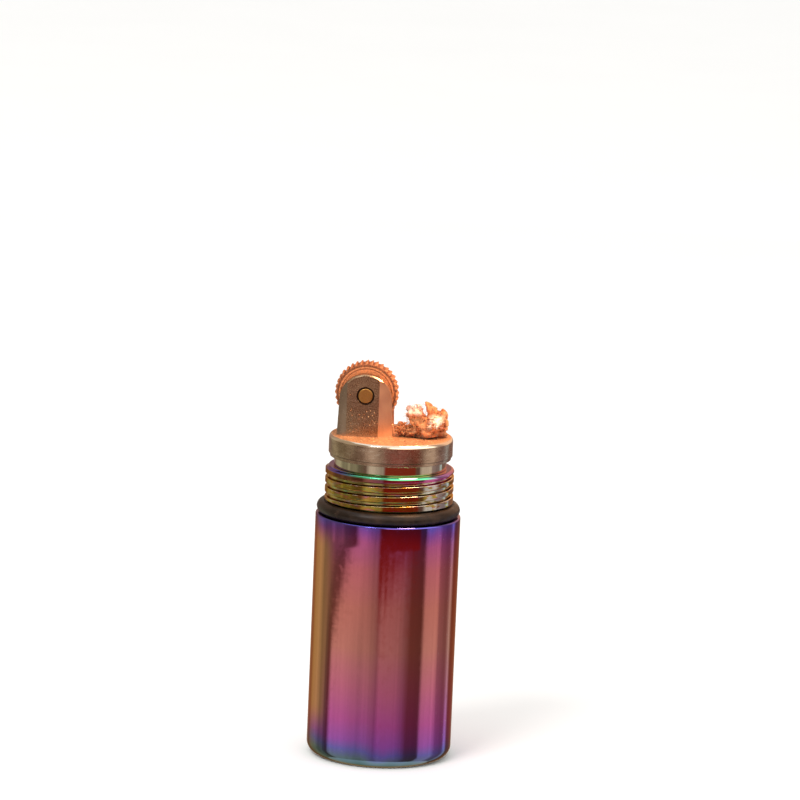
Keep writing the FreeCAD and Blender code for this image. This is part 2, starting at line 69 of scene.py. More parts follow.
# Sizes below are in millimetres; meshes are written in metres.
MM = 0.001
TURN = 2 * math.pi


def box_mm(node):
    low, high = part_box(node)
    return low / MM, high / MM


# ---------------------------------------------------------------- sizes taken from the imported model

CUP_HIGH = box_mm("fuel_cup")[1]
RING_LOW, RING_HIGH = box_mm("cap_seal_ring")
PLUG_LOW, PLUG_HIGH = box_mm("plug")
WHEEL_HIGH = box_mm("spark_wheel")[1]
AXLE_LOW, AXLE_HIGH = box_mm("wheel_axle")
SPRING_LOW, SPRING_HIGH = box_mm("flint_spring")
WICK_LOW, WICK_HIGH = box_mm("wick")
BRACKET_LOW, BRACKET_HIGH = box_mm("wheel_bracket")

CUP_RADIUS = CUP_HIGH.x
NECK_TOP = CUP_HIGH.z
SHOULDER = RING_LOW.z
FLANGE_RADIUS = PLUG_HIGH.x
PLATE_TOP = PLUG_HIGH.z
WHEEL_X = (AXLE_LOW.x + AXLE_HIGH.x) / 2
WHEEL_Z = (AXLE_LOW.z + AXLE_HIGH.z) / 2
WHEEL_RADIUS = WHEEL_HIGH.z - WHEEL_Z
WHEEL_HALF_WIDTH = WHEEL_HIGH.y
AXLE_RADIUS = (AXLE_HIGH.z - AXLE_LOW.z) / 2

# Details that a box doesn't give, as the solids have them.  Only the recess round each end of the
# axle is this script's own.
BASE_FILLET = 1.2
SHOULDER_FILLET = 0.18
FLOOR_THICKNESS = 1.4
BORE_RADIUS = 5.6
THREAD_CREST = 6.65
SEAL_SEAT = 6.1
THREAD_PITCH = 1.0
THREAD_DEPTH = 0.35
THREAD_MOUTH = 0.52
THREAD_ROOT = 0.2
THREAD_START = SHOULDER + 1.45
NECK_ROUND = 0.3
RING_SECTION = (RING_HIGH.z - RING_LOW.z) / 2
FLANGE_BOTTOM = PLATE_TOP - 2.3
RECESS_RADIUS = 0.93
RECESS_DEPTH = 0.24
WICK_X = 3.3
WICK_STEM_RADIUS = 1.3
SPIGOT_WAY_RADIUS = 2.4
WICK_WAY_RADIUS = 1.4
TEETH = 36
TOOTH_DEPTH = 0.3
WHEEL_BORE = AXLE_RADIUS + 0.04
COIL_RADIUS = 0.92
COILS = 15.0


# ---------------------------------------------------------------- shader expressions


def srgb(red, green, blue):
    """A colour given as 0 to 255 steps, as the linear colour that a shader takes."""
    steps = [value / 255 for value in (red, green, blue)]
    linear = [v / 12.92 if v <= 0.04045 else ((v + 0.055) / 1.055) ** 2.4 for v in steps]
    return (*linear, 1.0)


class Flow:
    """One output of a node tree.  Arithmetic on it adds Math nodes."""

    def __init__(self, owner, socket):
        self.owner, self.socket = owner, socket

    def math(self, operation, *others, clamp=False):
        settings = {"operation": operation, "use_clamp": clamp}
        return self.owner.node("ShaderNodeMath", settings, [self, *others])

    def __add__(self, other):
        return self.math("ADD", other)

    __radd__ = __add__

    def __mul__(self, other):
        return self.math("MULTIPLY", other)

    __rmul__ = __mul__

    def __sub__(self, other):
        return self.math("SUBTRACT", other)

    def __rsub__(self, other):
        return (self * -1) + other

    def __truediv__(self, other):
        return self.math("DIVIDE", other)

    def __pow__(self, other):
        return self.math("POWER", other)

    def clamped(self):
        return self.math("ADD", 0.0, clamp=True)

    def step(self, low, high, start=0.0, end=1.0):
        """Runs smoothly from start to end as this goes from low to high."""
        settings = {"interpolation_type": "SMOOTHSTEP"}
        inputs = {"Value": self, "From Min": low, "From Max": high, "To Min": start, "To Max": end}
        return self.owner.node("ShaderNodeMapRange", settings, inputs)

    def band(self, centre, half_width, soft):
        """One within half_width of centre, falling to nothing over soft."""
        distance = (self - centre).math("ABSOLUTE")
        return distance.step(half_width, half_width + soft, 1.0, 0.0)


class Tree:
    """A node tree under construction."""

    def node(self, kind, settings=None, inputs=None, output=0):
        """Adds a node: its settings first, then the values or links of its sockets."""
        made = self.tree.nodes.new(kind)
        for name, value in (settings or {}).items():
            if name == "stops":
                self.set_stops(made.color_ramp, value)
            else:
                setattr(made, name, value)
        pairs = inputs.items() if isinstance(inputs, dict) else enumerate(inputs or [])
        for key, value in pairs:
            if isinstance(value, Flow):
                self.tree.links.new(value.socket, made.inputs[key])
            else:
                made.inputs[key].default_value = value
        return Flow(self, made.outputs[output])

    @staticmethod
    def set_stops(ramp, stops):
        while len(ramp.elements) > 1:
            ramp.elements.remove(ramp.elements[-1])
        ramp.elements[0].position, ramp.elements[0].color = stops[0]
        for position, colour in stops[1:]:
            ramp.elements.new(position).color = colour


class Finish(Tree):
    """A material under construction."""

    def __init__(self, name):
        self.material = bpy.data.materials.new(name)
        self.material.use_nodes = True
        self.tree = self.material.node_tree
        self.tree.nodes.clear()

    def place(self):
        return self.node("ShaderNodeTexCoord", output="Object")

    def stretched(self, x, y, z):
        """Object coordinates with each axis multiplied, so a pattern can run along one of them."""
        settings = {"operation": "MULTIPLY"}
        return self.node("ShaderNodeVectorMath", settings, [self.place(), (x, y, z)])

    def axis(self, letter, vector=None):
        """One coordinate, in millimetres."""
        parts = self.node("ShaderNodeSeparateXYZ", None, [vector or self.place()], output=letter)
        return parts / MM

    def noise(self, grain, detail=3.0, roughness=0.55, vector=None, distortion=0.0):
        """Noise whose features are about this many millimetres across, centred on a half."""
        inputs = {
            "Vector": vector or self.place(),
            "Scale": 1 / (grain * MM),
            "Detail": detail,
            "Roughness": roughness,
            "Distortion": distortion,
        }
        return self.node("ShaderNodeTexNoise", None, inputs, output=0)

    def cells(self, grain, vector=None):
        """Distance to the nearest of scattered points about this many millimetres apart."""
        inputs = {"Vector": vector or self.place(), "Scale": 1 / (grain * MM)}
        return self.node("ShaderNodeTexVoronoi", None, inputs, output="Distance")

    def mixed(self, share, first, second):
        inputs = {0: share, 6: first, 7: second}
        return self.node("ShaderNodeMix", {"data_type": "RGBA"}, inputs, output=2)

    def layered(self, colour, *layers):
        """A colour with others laid over it in turn, each by its own share."""
        for share, over in layers:
            colour = self.mixed(share, colour, over)
        return colour

    def ramp(self, share, stops):
        return self.node("ShaderNodeValToRGB", {"stops": stops}, [share])

    def bumped(self, height, depth, strength=1.0, over=None):
        """A normal from a height field that stands this many millimetres high."""
        inputs = {"Height": height, "Distance": depth * MM, "Strength": strength}
        if over is not None:
            inputs["Normal"] = over
        return self.node("ShaderNodeBump", None, inputs)

    def principled(self, **sockets):
        """The finished material.  A socket's name is its label with _ for spaces."""
        inputs = {name.replace("_", " "): value for name, value in sockets.items()}
        return self.done(self.node("ShaderNodeBsdfPrincipled", None, inputs))

    def done(self, surface):
        output = self.tree.nodes.new("ShaderNodeOutputMaterial")
        self.tree.links.new(surface.socket, output.inputs["Surface"])
        return self.material


class Grower(Tree):
    """A geometry node group with named inputs, and the plain mesh that it grows."""

    KINDS = {"Geometry": "NodeSocketGeometry", "Count": "NodeSocketInt", "Seed": "NodeSocketInt"}

    def __init__(self, name, finish, **values):
        self.tree = bpy.data.node_groups.new(name, "GeometryNodeTree")
        self.finish, self.values = finish, values
        kinds = [self.KINDS.get(label.split("_")[-1], "NodeSocketFloat") for label in values]
        sockets = [("Geometry", "INPUT", self.KINDS["Geometry"])]
        sockets += [(label, "INPUT", kind) for label, kind in zip(values, kinds)]
        sockets.append(("Geometry", "OUTPUT", self.KINDS["Geometry"]))
        for label, way, kind in sockets:
            self.tree.interface.new_socket(label, in_out=way, socket_type=kind)
        self.start = self.tree.nodes.new("NodeGroupInput")

    def given(self, label):
        return Flow(self, self.start.outputs[label])

    def random_value(self, low, high, seed):
        """A random number, or a random vector where low and high are vectors."""
        vector = isinstance(low, tuple)
        settings = {"data_type": "FLOAT_VECTOR" if vector else "FLOAT"}
        first = 0 if vector else 2
        inputs = {first: low, first + 1: high, "Seed": seed}
        return self.node("FunctionNodeRandomValue", settings, inputs, output=0 if vector else 1)

    def strewn(self, density, seed):
        """Points scattered over the host mesh."""
        inputs = {"Mesh": self.given("Geometry"), "Density": density, "Seed": seed}
        return self.node("GeometryNodeDistributePointsOnFaces", None, inputs)

    def set_on(self, points, shape, rotation, scale):
        inputs = {"Points": points, "Instance": shape, "Rotation": rotation, "Scale": scale}
        return self.node("GeometryNodeInstanceOnPoints", None, inputs)

    def wire(self, path, radius, sides):
        """Round wire along a curve."""
        inputs = {"Resolution": sides, "Radius": radius}
        section = self.node("GeometryNodeCurvePrimitiveCircle", None, inputs)
        inputs = {"Curve": path, "Profile Curve": section, "Fill Caps": True}
        return self.node("GeometryNodeCurveToMesh", None, inputs)

    def combined(self, x, y, z):
        return self.node("ShaderNodeCombineXYZ", None, [x, y, z])

    def vector_math(self, operation, *inputs):
        return self.node("ShaderNodeVectorMath", {"operation": operation}, inputs)

    def grown(self, name, host, geometry):
        """Runs the group on a host mesh and returns what grows, as a plain mesh."""
        real = self.node("GeometryNodeRealizeInstances", None, [geometry])
        inputs = {"Geometry": real, "Material": self.finish}
        painted = self.node("GeometryNodeSetMaterial", None, inputs)
        end = self.tree.nodes.new("NodeGroupOutput")
        self.tree.links.new(painted.socket, end.inputs[0])
        thing = linked(name, host)
        growth = thing.modifiers.new("growth", "NODES")
        growth.node_group = self.tree
        for item in self.tree.interface.items_tree:
            if item.in_out == "INPUT" and item.name in self.values:
                growth[item.identifier] = self.values[item.name]
        mesh = evaluated_mesh(thing, name)
        bpy.data.objects.remove(thing)
        return mesh


# ---------------------------------------------------------------- mesh helpers


def linked(name, data):
    """A new object in the scene."""
    thing = bpy.data.objects.new(name, data)
    bpy.context.scene.collection.objects.link(thing)
    return thing


def new_piece(name, mesh, finish, body, slot, *stands_for):
    """A finished piece on its body, in place of the CAD nodes that it stands for."""
    piece = linked(name, mesh)
    mesh.materials.clear()
    mesh.materials.append(finish)
    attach(piece, body)
    if stands_for:
        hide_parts(*stands_for)
    return piece


def mesh_of(name, points, faces, smooth=True):
    """A mesh from points in millimetres."""
    mesh = bpy.data.meshes.new(name)
    mesh.from_pydata([Vector(point) * MM for point in points], [], faces)
    tidy = bmesh.new()
    tidy.from_mesh(mesh)
    bmesh.ops.remove_doubles(tidy, verts=tidy.verts, dist=1e-8)
    bmesh.ops.recalc_face_normals(tidy, faces=tidy.faces)
    tidy.to_mesh(mesh)
    tidy.free()
    mesh.polygons.foreach_set("use_smooth", [smooth] * len(mesh.polygons))
    return mesh


def lathe(name, outline, segments, closed=False, shaped=None):
    """Turns an outline of (radius, height) about the upright axis.  A point at no radius is a pole.
    shaped(radius, height, angle) may move a point in or out."""
    points, rings = [], []
    for radius, height in outline:
        if radius < 1e-6:
            rings.append([len(points)])
            points.append((0, 0, height))
            continue
        ring = []
        for step in range(segments):
            angle = TURN * step / segments
            reach = shaped(radius, height, angle) if shaped else radius
            ring.append(len(points))
            points.append((reach * math.cos(angle), reach * math.sin(angle), height))
        rings.append(ring)
    faces = []
    pairs = list(zip(rings, rings[1:] + (rings[:1] if closed else [])))
    for low, high in pairs if closed else pairs[: len(rings) - 1]:
        for step in range(segments):
            after = (step + 1) % segments
            if len(low) == 1:
                faces.append((low[0], high[after], high[step]))
            elif len(high) == 1:
                faces.append((low[step], low[after], high[0]))
            else:
                faces.append((low[step], low[after], high[after], high[step]))
    return mesh_of(name, points, faces)


def rounded(corner, radius, start, end, steps=8):
    """Points of an arc of (radius, height) about corner, from one angle to another in degrees."""
    sweep = [math.radians(start + (end - start) * step / steps) for step in range(steps + 1)]
    return [(corner[0] + radius * math.cos(a), corner[1] + radius * math.sin(a)) for a in sweep]


def between(first, second, steps):
    """Points from first up to, but not including, second."""
    (x0, y0), (x1, y1) = first, second
    return [(x0 + (x1 - x0) * s / steps, y0 + (y1 - y0) * s / steps) for s in range(steps)]


def evaluated_mesh(thing, name):
    """What an object's modifiers make of it, as a plain mesh."""
    graph = bpy.context.evaluated_depsgraph_get()
    mesh = bpy.data.meshes.new_from_object(thing.evaluated_get(graph))
    mesh.name = name
    return mesh


def modified(name, mesh, *modifiers):
    """What modifiers make of a mesh, each given as its kind and its settings."""
    thing = linked(name, mesh)
    for kind, settings in modifiers:
        modifier = thing.modifiers.new(kind.lower(), kind)
        for label, value in settings.items():
            setattr(modifier, label, value)
    result = evaluated_mesh(thing, name)
    bpy.data.objects.remove(thing)
    return result


def cut_away(mesh, *cutters):
    """The mesh with each cutter's mesh taken out of it."""
    helpers = [linked("cutter", cutter) for cutter in cutters]
    settings = {"operation": "DIFFERENCE", "solver": "EXACT"}
    cuts = [("BOOLEAN", settings | {"object": helper}) for helper in helpers]
    result = modified(mesh.name + "_cut", mesh, *cuts)
    for helper in helpers:
        bpy.data.objects.remove(helper)
    return result


def even_shading(mesh, sharp):
    """Smooth shading in which the large flat faces stay flat."""
    mesh.polygons.foreach_set("use_smooth", [True] * len(mesh.polygons))
    mesh.set_sharp_from_angle(angle=math.radians(sharp))
    weighting = {"weight": 90, "keep_sharp": True}
    return modified(mesh.name + "_shaded", mesh, ("WEIGHTED_NORMAL", weighting))


def worked_copy(node, name, edge_round, sharp=32.0, cutters=()):
    """A CAD node's mesh with its triangles joined and its sharp edges rounded, shaded smooth."""
    mesh = nodes[node].data.copy()
    tidy = bmesh.new()
    tidy.from_mesh(mesh)
    bmesh.ops.remove_doubles(tidy, verts=tidy.verts, dist=2e-7)
    flat = math.radians(0.5)
    bmesh.ops.dissolve_limit(tidy, angle_limit=flat, verts=tidy.verts, edges=tidy.edges)
    tidy.to_mesh(mesh)
    tidy.free()
    if cutters:
        mesh = cut_away(mesh, *cutters)
    rounding = {"width": edge_round * MM, "segments": 3, "limit_method": "ANGLE"}
    rounding["angle_limit"] = math.radians(sharp)
    return even_shading(modified(name, mesh, ("BEVEL", rounding)), sharp)


# ---------------------------------------------------------------- finishes


def rainbow_coat():
    """Vapour-coated mirror metal: rose over most of the cup, tan down its -X side, violet and teal
    towards the rims, and green and gold on the thread, with painted highlights on the thread's sides
    and crest edges and painted shade along its flanks."""
    finish = Finish("rainbow_coat")
    height = finish.axis("Z")
    x, y = finish.axis("X"), finish.axis("Y")
    reach = (x * x + y * y) ** 0.5
    drift = finish.noise(9.0, 2.0) - 0.5
    mottle = finish.noise(2.2, 4.0, vector=finish.stretched(1, 1, 0.35)) - 0.5
    level = (height + drift * 2.4 + mottle * 0.9) / SHOULDER
    wall = finish.ramp(
        level,
        [
            (0.0, srgb(56, 96, 92)),
            (0.035, srgb(104, 128, 140)),
            (0.07, srgb(118, 112, 196)),
            (0.11, srgb(170, 98, 194)),
            (0.19, srgb(200, 100, 172)),
            (0.32, srgb(212, 120, 150)),
            (0.48, srgb(214, 138, 128)),
            (0.66, srgb(212, 130, 120)),
            (0.82, srgb(208, 116, 128)),
            (0.92, srgb(192, 98, 154)),
            (0.97, srgb(150, 86, 176)),
            (1.0, srgb(112, 92, 204)),
        ],
    )
    below_shoulder = height.step(SHOULDER - 0.6, SHOULDER - 3.2)
    golden = x.step(-4.8, -6.2) * height.step(2.6, 6.0) * below_shoulder
    wall = finish.layered(
        wall,
        (golden * 0.85, srgb(222, 166, 124)),
        (height.step(SHOULDER - 0.2, SHOULDER), srgb(104, 108, 214)),
        (height.step(0.5, 0.05), srgb(44, 62, 58)),
    )

    crest = reach.step(THREAD_CREST - THREAD_DEPTH, THREAD_CREST - 0.05)
    thread = finish.mixed(crest, srgb(150, 176, 132), srgb(172, 138, 56))
    streak = finish.noise(0.9, 3.0, 0.6, vector=finish.stretched(0.5, 0.5, 5.0))
    hues = finish.ramp(
        streak,
        [
            (0.28, srgb(90, 168, 170)),
            (0.38, srgb(158, 172, 84)),
            (0.47, srgb(214, 172, 74)),
            (0.53, srgb(150, 128, 52)),
            (0.60, srgb(214, 112, 92)),
            (0.70, srgb(176, 132, 206)),
        ],
    )
    gleam = finish.noise(1.0, 2.0, vector=finish.stretched(1, 1, 4.0))
    # Painted highlight: silvery streaks on the thread's +X side.
    side = x.step(2.4, 4.4) * gleam.step(0.36, 0.56)
    # Painted highlight: paler streaks at the thread's far -X edge.
    far_side_highlight = x.step(-4.4, -6.0) * gleam.step(0.4, 0.6)
    # Painted shade: a dark band along the middle of each thread flank.
    flank_shade = reach.band(THREAD_CREST - THREAD_DEPTH * 0.5, 0.06, 0.06)
    # Painted highlight: bright glints along the thread's crest edges, broken up by the shine noise.
    lip = reach.band(THREAD_CREST - 0.035, 0.015, 0.02)
    shine = finish.noise(0.7, 2.0, vector=finish.stretched(1, 1, 6.0)).step(0.42, 0.58)
    lead = height.band(NECK_TOP - 0.46, 0.16, 0.08)
    lead_tone = finish.mixed(x.step(-3.0, 3.6), srgb(140, 88, 66), srgb(214, 108, 176))
    rim = height.step(NECK_TOP - 0.3, NECK_TOP - 0.2)
    rim_tone = finish.mixed(x.step(-5.2, -2.6), srgb(112, 108, 226), srgb(104, 216, 168))
    rim_tone = finish.mixed(x.step(3.8, 5.6), rim_tone, srgb(170, 130, 214))
    thread = finish.layered(
        thread,
        (0.6, hues),
        # painted highlight on the thread's +X side
        (side * 0.75, srgb(222, 224, 226)),
        # painted highlight at the thread's far -X edge
        (far_side_highlight * 0.5, srgb(196, 190, 176)),
        # painted shade on the thread flanks
        (flank_shade * 0.75, srgb(34, 24, 16)),
        # painted highlight glints on the thread crests
        (lip * shine * 0.9, srgb(250, 244, 226)),
        (lead, lead_tone),
        (rim, rim_tone),
    )
    colour = finish.mixed(height.step(SHOULDER + 0.02, SHOULDER + 0.1), wall, thread)

    drawn = finish.noise(0.05, 2.0, vector=finish.stretched(1, 1, 0.03))
    ripple = finish.noise(0.8, 2.0, vector=finish.stretched(0.3, 0.3, 2.2))
    scratches = finish.cells(1.7, vector=finish.stretched(1.0, 1.0, 0.08))
    worn = finish.noise(0.8, 4.0)
    specks = finish.cells(0.55).step(0.05, 0.09, 1.0, 0.0)
    rubbed = x.step(4.2, 7.0)
    colour = finish.mixed(specks * (rubbed * 0.6 + 0.15), colour, srgb(236, 220, 212))
    roughness = 0.07 + worn.step(0.45, 0.75) * 0.07 + scratches.step(0.04, 0.0) * 0.2
    normal = finish.bumped(drawn, 0.0016, 0.4)
    normal = finish.bumped(worn, 0.004, 0.25, over=normal)
    left = x.step(-3.0, -6.0)
    normal = finish.bumped(ripple * left, 0.006, 0.35, over=normal)
    return finish.principled(
        Base_Color=colour,
        Metallic=1.0,
        Roughness=roughness,
        Normal=normal,
        Specular_Tint=(1.0, 0.72, 0.45, 1.0),
    )


def nickel_plate():
    """Handled nickel plating: bright on the collar, satin and scuffed on the flange and the bracket,
    browned by heat, with flint dust lying on whatever faces up. Painted light on it: a highlight along
    the flange's top edge, a lighter, warmer +X flank and a darker -X edge on the bracket, shade in the
    axle recesses and a dark line at the flange's lip."""
    finish = Finish("nickel_plate")
    height, x, y = finish.axis("Z"), finish.axis("X"), finish.axis("Y")
    cloud = finish.noise(2.0, 5.0, 0.62)
    fine = finish.noise(0.10, 4.0, 0.7)
    pits = finish.cells(0.22)
    scuffs = finish.noise(0.5, 5.0, 0.7, vector=finish.stretched(0.5, 0.5, 1.6))
    settled = finish.noise(0.45, 5.0, 0.75)
    grit = finish.noise(0.16, 4.0, 0.75)
    collar = height.step(FLANGE_BOTTOM, FLANGE_BOTTOM - 0.03)
    above = height.step(PLATE_TOP + 0.02, PLATE_TOP + 0.1)
    side = (1 - collar) * (1 - above)
    across, rise = x - WHEEL_X, height - WHEEL_Z
    off_axle = (across * across + rise * rise) ** 0.5
    sunk = y.math("ABSOLUTE").step(BRACKET_HIGH.y - 0.01, BRACKET_HIGH.y - 0.05)
    recess = off_axle.step(RECESS_RADIUS + 0.04, RECESS_RADIUS) * sunk
    on_plate = height.band(PLATE_TOP, 0.03, 0.05)
    foot = above * height.step(PLATE_TOP + 0.6, PLATE_TOP)
    lying = on_plate * (settled.step(0.3, 0.5) * 0.5 + 0.45)
    dust = (lying + foot * settled.step(0.5, 0.7) * 0.5).clamped()
    sparks = finish.cells(0.15).step(0.22, 0.1) * finish.noise(0.7, 2.0).step(0.5, 0.58) * above
    bright = (pits.step(0.12, 0.04) * finish.noise(0.6, 2.0).step(0.46, 0.56) + sparks).clamped()
    # Painted highlight: a light band along the rounding of the flange's top edge, which is also made
    # less rough.
    edge = height.band(PLATE_TOP - 0.2, 0.1, 0.07)
    bracket = finish.mixed(fine.step(0.38, 0.62), srgb(200, 168, 134), srgb(116, 88, 66))
    bracket = finish.mixed(scuffs.step(0.5, 0.75) * 0.4, bracket, srgb(228, 200, 166))
    tone = finish.layered(
        finish.mixed(cloud.step(0.3, 0.7), srgb(206, 176, 150), srgb(158, 128, 106)),
        (scuffs.step(0.52, 0.7) * 0.6, srgb(236, 216, 194)),
        (scuffs.step(0.46, 0.3) * 0.5, srgb(112, 84, 66)),
        (above, bracket),
        # Painted flame light: the bracket's +X flank lighter and warmer.
        (across.step(1.36, 1.46) * above, srgb(255, 206, 164)),
        # Painted shade: a darker strip along the bracket's -X edge.
        (across.step(-1.86, -1.92) * above, srgb(164, 142, 120)),
        (collar, srgb(206, 190, 166)),
        # Painted shade: the recess round each end of the axle darkened.
        (recess * 0.9, srgb(34, 24, 18)),
        # Painted shadow: a dark line at the step from the lip up to the flange.
        (height.band(FLANGE_BOTTOM + 0.37, 0.03, 0.03) * 0.8, srgb(58, 42, 32)),
        (on_plate, srgb(206, 146, 102)),
        (dust * 0.9, finish.mixed(grit.step(0.42, 0.62), srgb(212, 144, 92), srgb(132, 82, 50))),
        (bright * (1 - collar) * 0.9, srgb(255, 236, 210)),
        # painted highlight on the flange's top edge
        (edge * 0.8, srgb(255, 244, 226)),
    )
    satin = 0.2 + cloud.step(0.3, 0.8) * 0.1 + fine.step(0.4, 0.8) * 0.1 + above * 0.08 + dust * 0.35
    roughness = satin * (1 - collar) * (1 - edge * 0.65) + collar * 0.07
    rough_skin = finish.bumped(fine * (1 - collar) * (1 - edge), 0.01, 0.5)
    normal = finish.bumped(pits.step(0.02, 0.2) * (1 - collar), 0.010, 0.4, over=rough_skin)
    normal = finish.bumped(scuffs * side, 0.02, 0.35, over=normal)
    normal = finish.bumped(settled * dust, 0.05, 0.35, over=normal)
    return finish.principled(
        Base_Color=tone,
        Metallic=1.0 - dust * 0.7,
        Roughness=roughness.clamped(),
        Normal=normal,
    )


def wheel_steel():
    """Hardened steel under a baked-on layer of orange-brown flint dust, bright on the tooth tips."""
    finish = Finish("wheel_steel")
    caked = finish.noise(0.30, 5.0, 0.7)
    x, z = finish.axis("X"), finish.axis("Z")
    across, up = x - WHEEL_X, z - WHEEL_Z
    reach = (across * across + up * up) ** 0.5
    root = reach.band(WHEEL_RADIUS - 0.34, 0.05, 0.1)
    tip = reach.step(WHEEL_RADIUS - 0.12, WHEEL_RADIUS)
    ring = reach.band(WHEEL_RADIUS - 0.72, 0.06, 0.08)
    dust = (caked.step(0.25, 0.6) * (1 - tip * 0.5)).clamped()
    colour = finish.mixed(dust, srgb(150, 104, 74), srgb(206, 124, 72))
    colour = finish.mixed((root * 0.8 + ring * 0.35).clamped(), colour, srgb(104, 52, 26))
    colour = finish.mixed(tip * 0.5, colour, srgb(236, 166, 112))
    fine = finish.noise(0.07, 3.0)
    colour = finish.mixed(fine.step(0.55, 0.75) * 0.5, colour, srgb(120, 62, 32))
    normal = finish.bumped(fine, 0.03, 0.7)
    normal = finish.bumped(caked, 0.05, 0.5, over=normal)
    return finish.principled(
        Base_Color=colour,
        Metallic=0.75 - dust * 0.6,
        Roughness=0.4 + dust * 0.32,
        Normal=normal,
    )


def brass():
    """Turned brass, tarnished golden brown, with fine lines along it."""
    finish = Finish("brass")
    cloud = finish.noise(0.5, 4.0, 0.6)
    lines = finish.noise(0.06, 2.0, vector=finish.stretched(1, 1, 0.15))
    colour = finish.mixed(cloud.step(0.3, 0.8), srgb(208, 158, 90), srgb(176, 124, 66))
    roughness = 0.32 + cloud.step(0.4, 0.8) * 0.2
    normal = finish.bumped(lines, 0.004, 0.4)
    normal = finish.bumped(finish.noise(0.15, 4.0), 0.01, 0.4, over=normal)
    return finish.principled(Base_Color=colour, Metallic=1.0, Roughness=roughness, Normal=normal)


def spring_steel():
    finish = Finish("spring_steel")
    drawn = finish.noise(0.08, 3.0)
    oil = finish.noise(0.9, 3.0)
    colour = finish.mixed(drawn.step(0.3, 0.7), srgb(182, 182, 184), srgb(128, 126, 124))
    colour = finish.mixed(oil.step(0.5, 0.7) * 0.4, colour, srgb(120, 100, 80))
    normal = finish.bumped(drawn, 0.003, 0.4)
    roughness = 0.25 + drawn * 0.2
    return finish.principled(Base_Color=colour, Metallic=1.0, Roughness=roughness, Normal=normal)


def flint_alloy():
    """Sintered sparking alloy: dull, dark and finely porous."""
    finish = Finish("flint_alloy")
    grain = finish.noise(0.12, 5.0, 0.7)
    pores = finish.cells(0.25)
    colour = finish.mixed(grain.step(0.35, 0.7), srgb(104, 98, 98), srgb(54, 50, 52))
    normal = finish.bumped(grain + pores.step(0.0, 0.25), 0.02, 0.8)
    roughness = 0.55 + grain * 0.3
    return finish.principled(Base_Color=colour, Metallic=0.55, Roughness=roughness, Normal=normal)


def seal_rubber():
    """Brown-black rubber, a little dusty, with lint caught on it."""
    finish = Finish("seal_rubber")
    bloom = finish.noise(1.4, 5.0, 0.6)
    fine = finish.noise(0.07, 3.0)
    colour = finish.mixed(bloom.step(0.4, 0.75), srgb(26, 15, 9), srgb(52, 33, 20))
    lint = finish.cells(0.6).step(0.03, 0.07, 1.0, 0.0)
    colour = finish.mixed(lint * 0.45, colour, srgb(150, 112, 84))
    normal = finish.bumped(fine, 0.008, 0.5)
    roughness = 0.3 + bloom.step(0.35, 0.7) * 0.22
    return finish.principled(
        Base_Color=colour, Roughness=roughness, Normal=normal, Specular_IOR_Level=0.28
    )


def scorched_cotton():
    """Wick cotton: cream below the plate; above it, orange and a bright spot of painted flame light;
    charred low down and at the loose ends.
    """
    finish = Finish("scorched_cotton")
    height, x = finish.axis("Z"), finish.axis("X")
    blotch = finish.noise(1.0, 4.0, 0.6)
    fibre = finish.noise(0.07, 3.0, vector=finish.stretched(1, 1, 0.3))
    # Painted flame light: the orange over the cotton above the plate is the flame's light, with darker
    # fibres through it.
    lit = finish.mixed(blotch.step(0.4, 0.62), srgb(204, 110, 54), srgb(224, 156, 102))
    lit = finish.mixed(fibre.step(0.42, 0.68) * 0.6, lit, srgb(150, 70, 30))
    # Painted highlight: a bright spot on the -Y front of the tuft where the flame's light falls.
    near = finish.axis("Y").step(0.2, -0.5)
    flame_lit_spot = near * height.band(35.4, 0.4, 0.5) * x.band(4.6, 0.4, 0.6) * blotch.step(0.38, 0.5)
    lit = finish.mixed(flame_lit_spot, lit, srgb(255, 232, 204))
    pale = height.step(35.9, 36.4) * x.step(3.4, 2.8) * blotch.step(0.36, 0.48)
    lit = finish.mixed(pale * 0.85, lit, srgb(244, 204, 184))
    char = height.step(PLATE_TOP + 0.8, PLATE_TOP) * blotch.step(0.3, 0.55)
    patches = finish.noise(0.5, 3.0).step(0.6, 0.7) * 0.6
    colour = finish.mixed((char + patches).clamped() * 0.85, lit, srgb(74, 36, 16))
    clean = height.step(PLATE_TOP - 0.4, PLATE_TOP - 1.2)
    colour = finish.mixed(clean, colour, srgb(222, 214, 196))
    normal = finish.bumped(fibre, 0.03, 0.7)
    return finish.principled(
        Base_Color=colour,
        Roughness=0.84 + fibre * 0.12,
        Normal=normal,
        Sheen_Weight=0.08,
        Subsurface_Weight=0.1,
        Subsurface_Scale=0.3 * MM,
    )


def flint_dust():
    """Loose grains struck off the flint, some burnt dull and some still bright."""
    finish = Finish("flint_dust")
    which = finish.noise(0.25, 1.0)
    colour = finish.mixed(which.step(0.45, 0.6), srgb(176, 98, 50), srgb(255, 208, 156))
    colour = finish.mixed(which.step(0.44, 0.36), colour, srgb(96, 46, 20))
    bright = which.step(0.5, 0.6) * 0.7
    return finish.principled(Base_Color=colour, Metallic=bright, Roughness=0.42 + which * 0.3)


def packing_fibre(name, tone, dark, grain):
    finish = Finish(name)
    clump = finish.noise(grain * 6, 4.0, 0.65)
    strand = finish.noise(grain, 4.0, 0.7, distortion=1.5)
    colour = finish.mixed(strand.step(0.35, 0.7), dark, tone)
    colour = finish.mixed(clump.step(0.4, 0.8) * 0.4, colour, srgb(214, 204, 184))
    normal = finish.bumped(strand, grain * 0.6, 0.9)
    return finish.principled(
        Base_Color=colour, Roughness=0.9 + strand * 0.08, Normal=normal, Sheen_Weight=0.35
    )


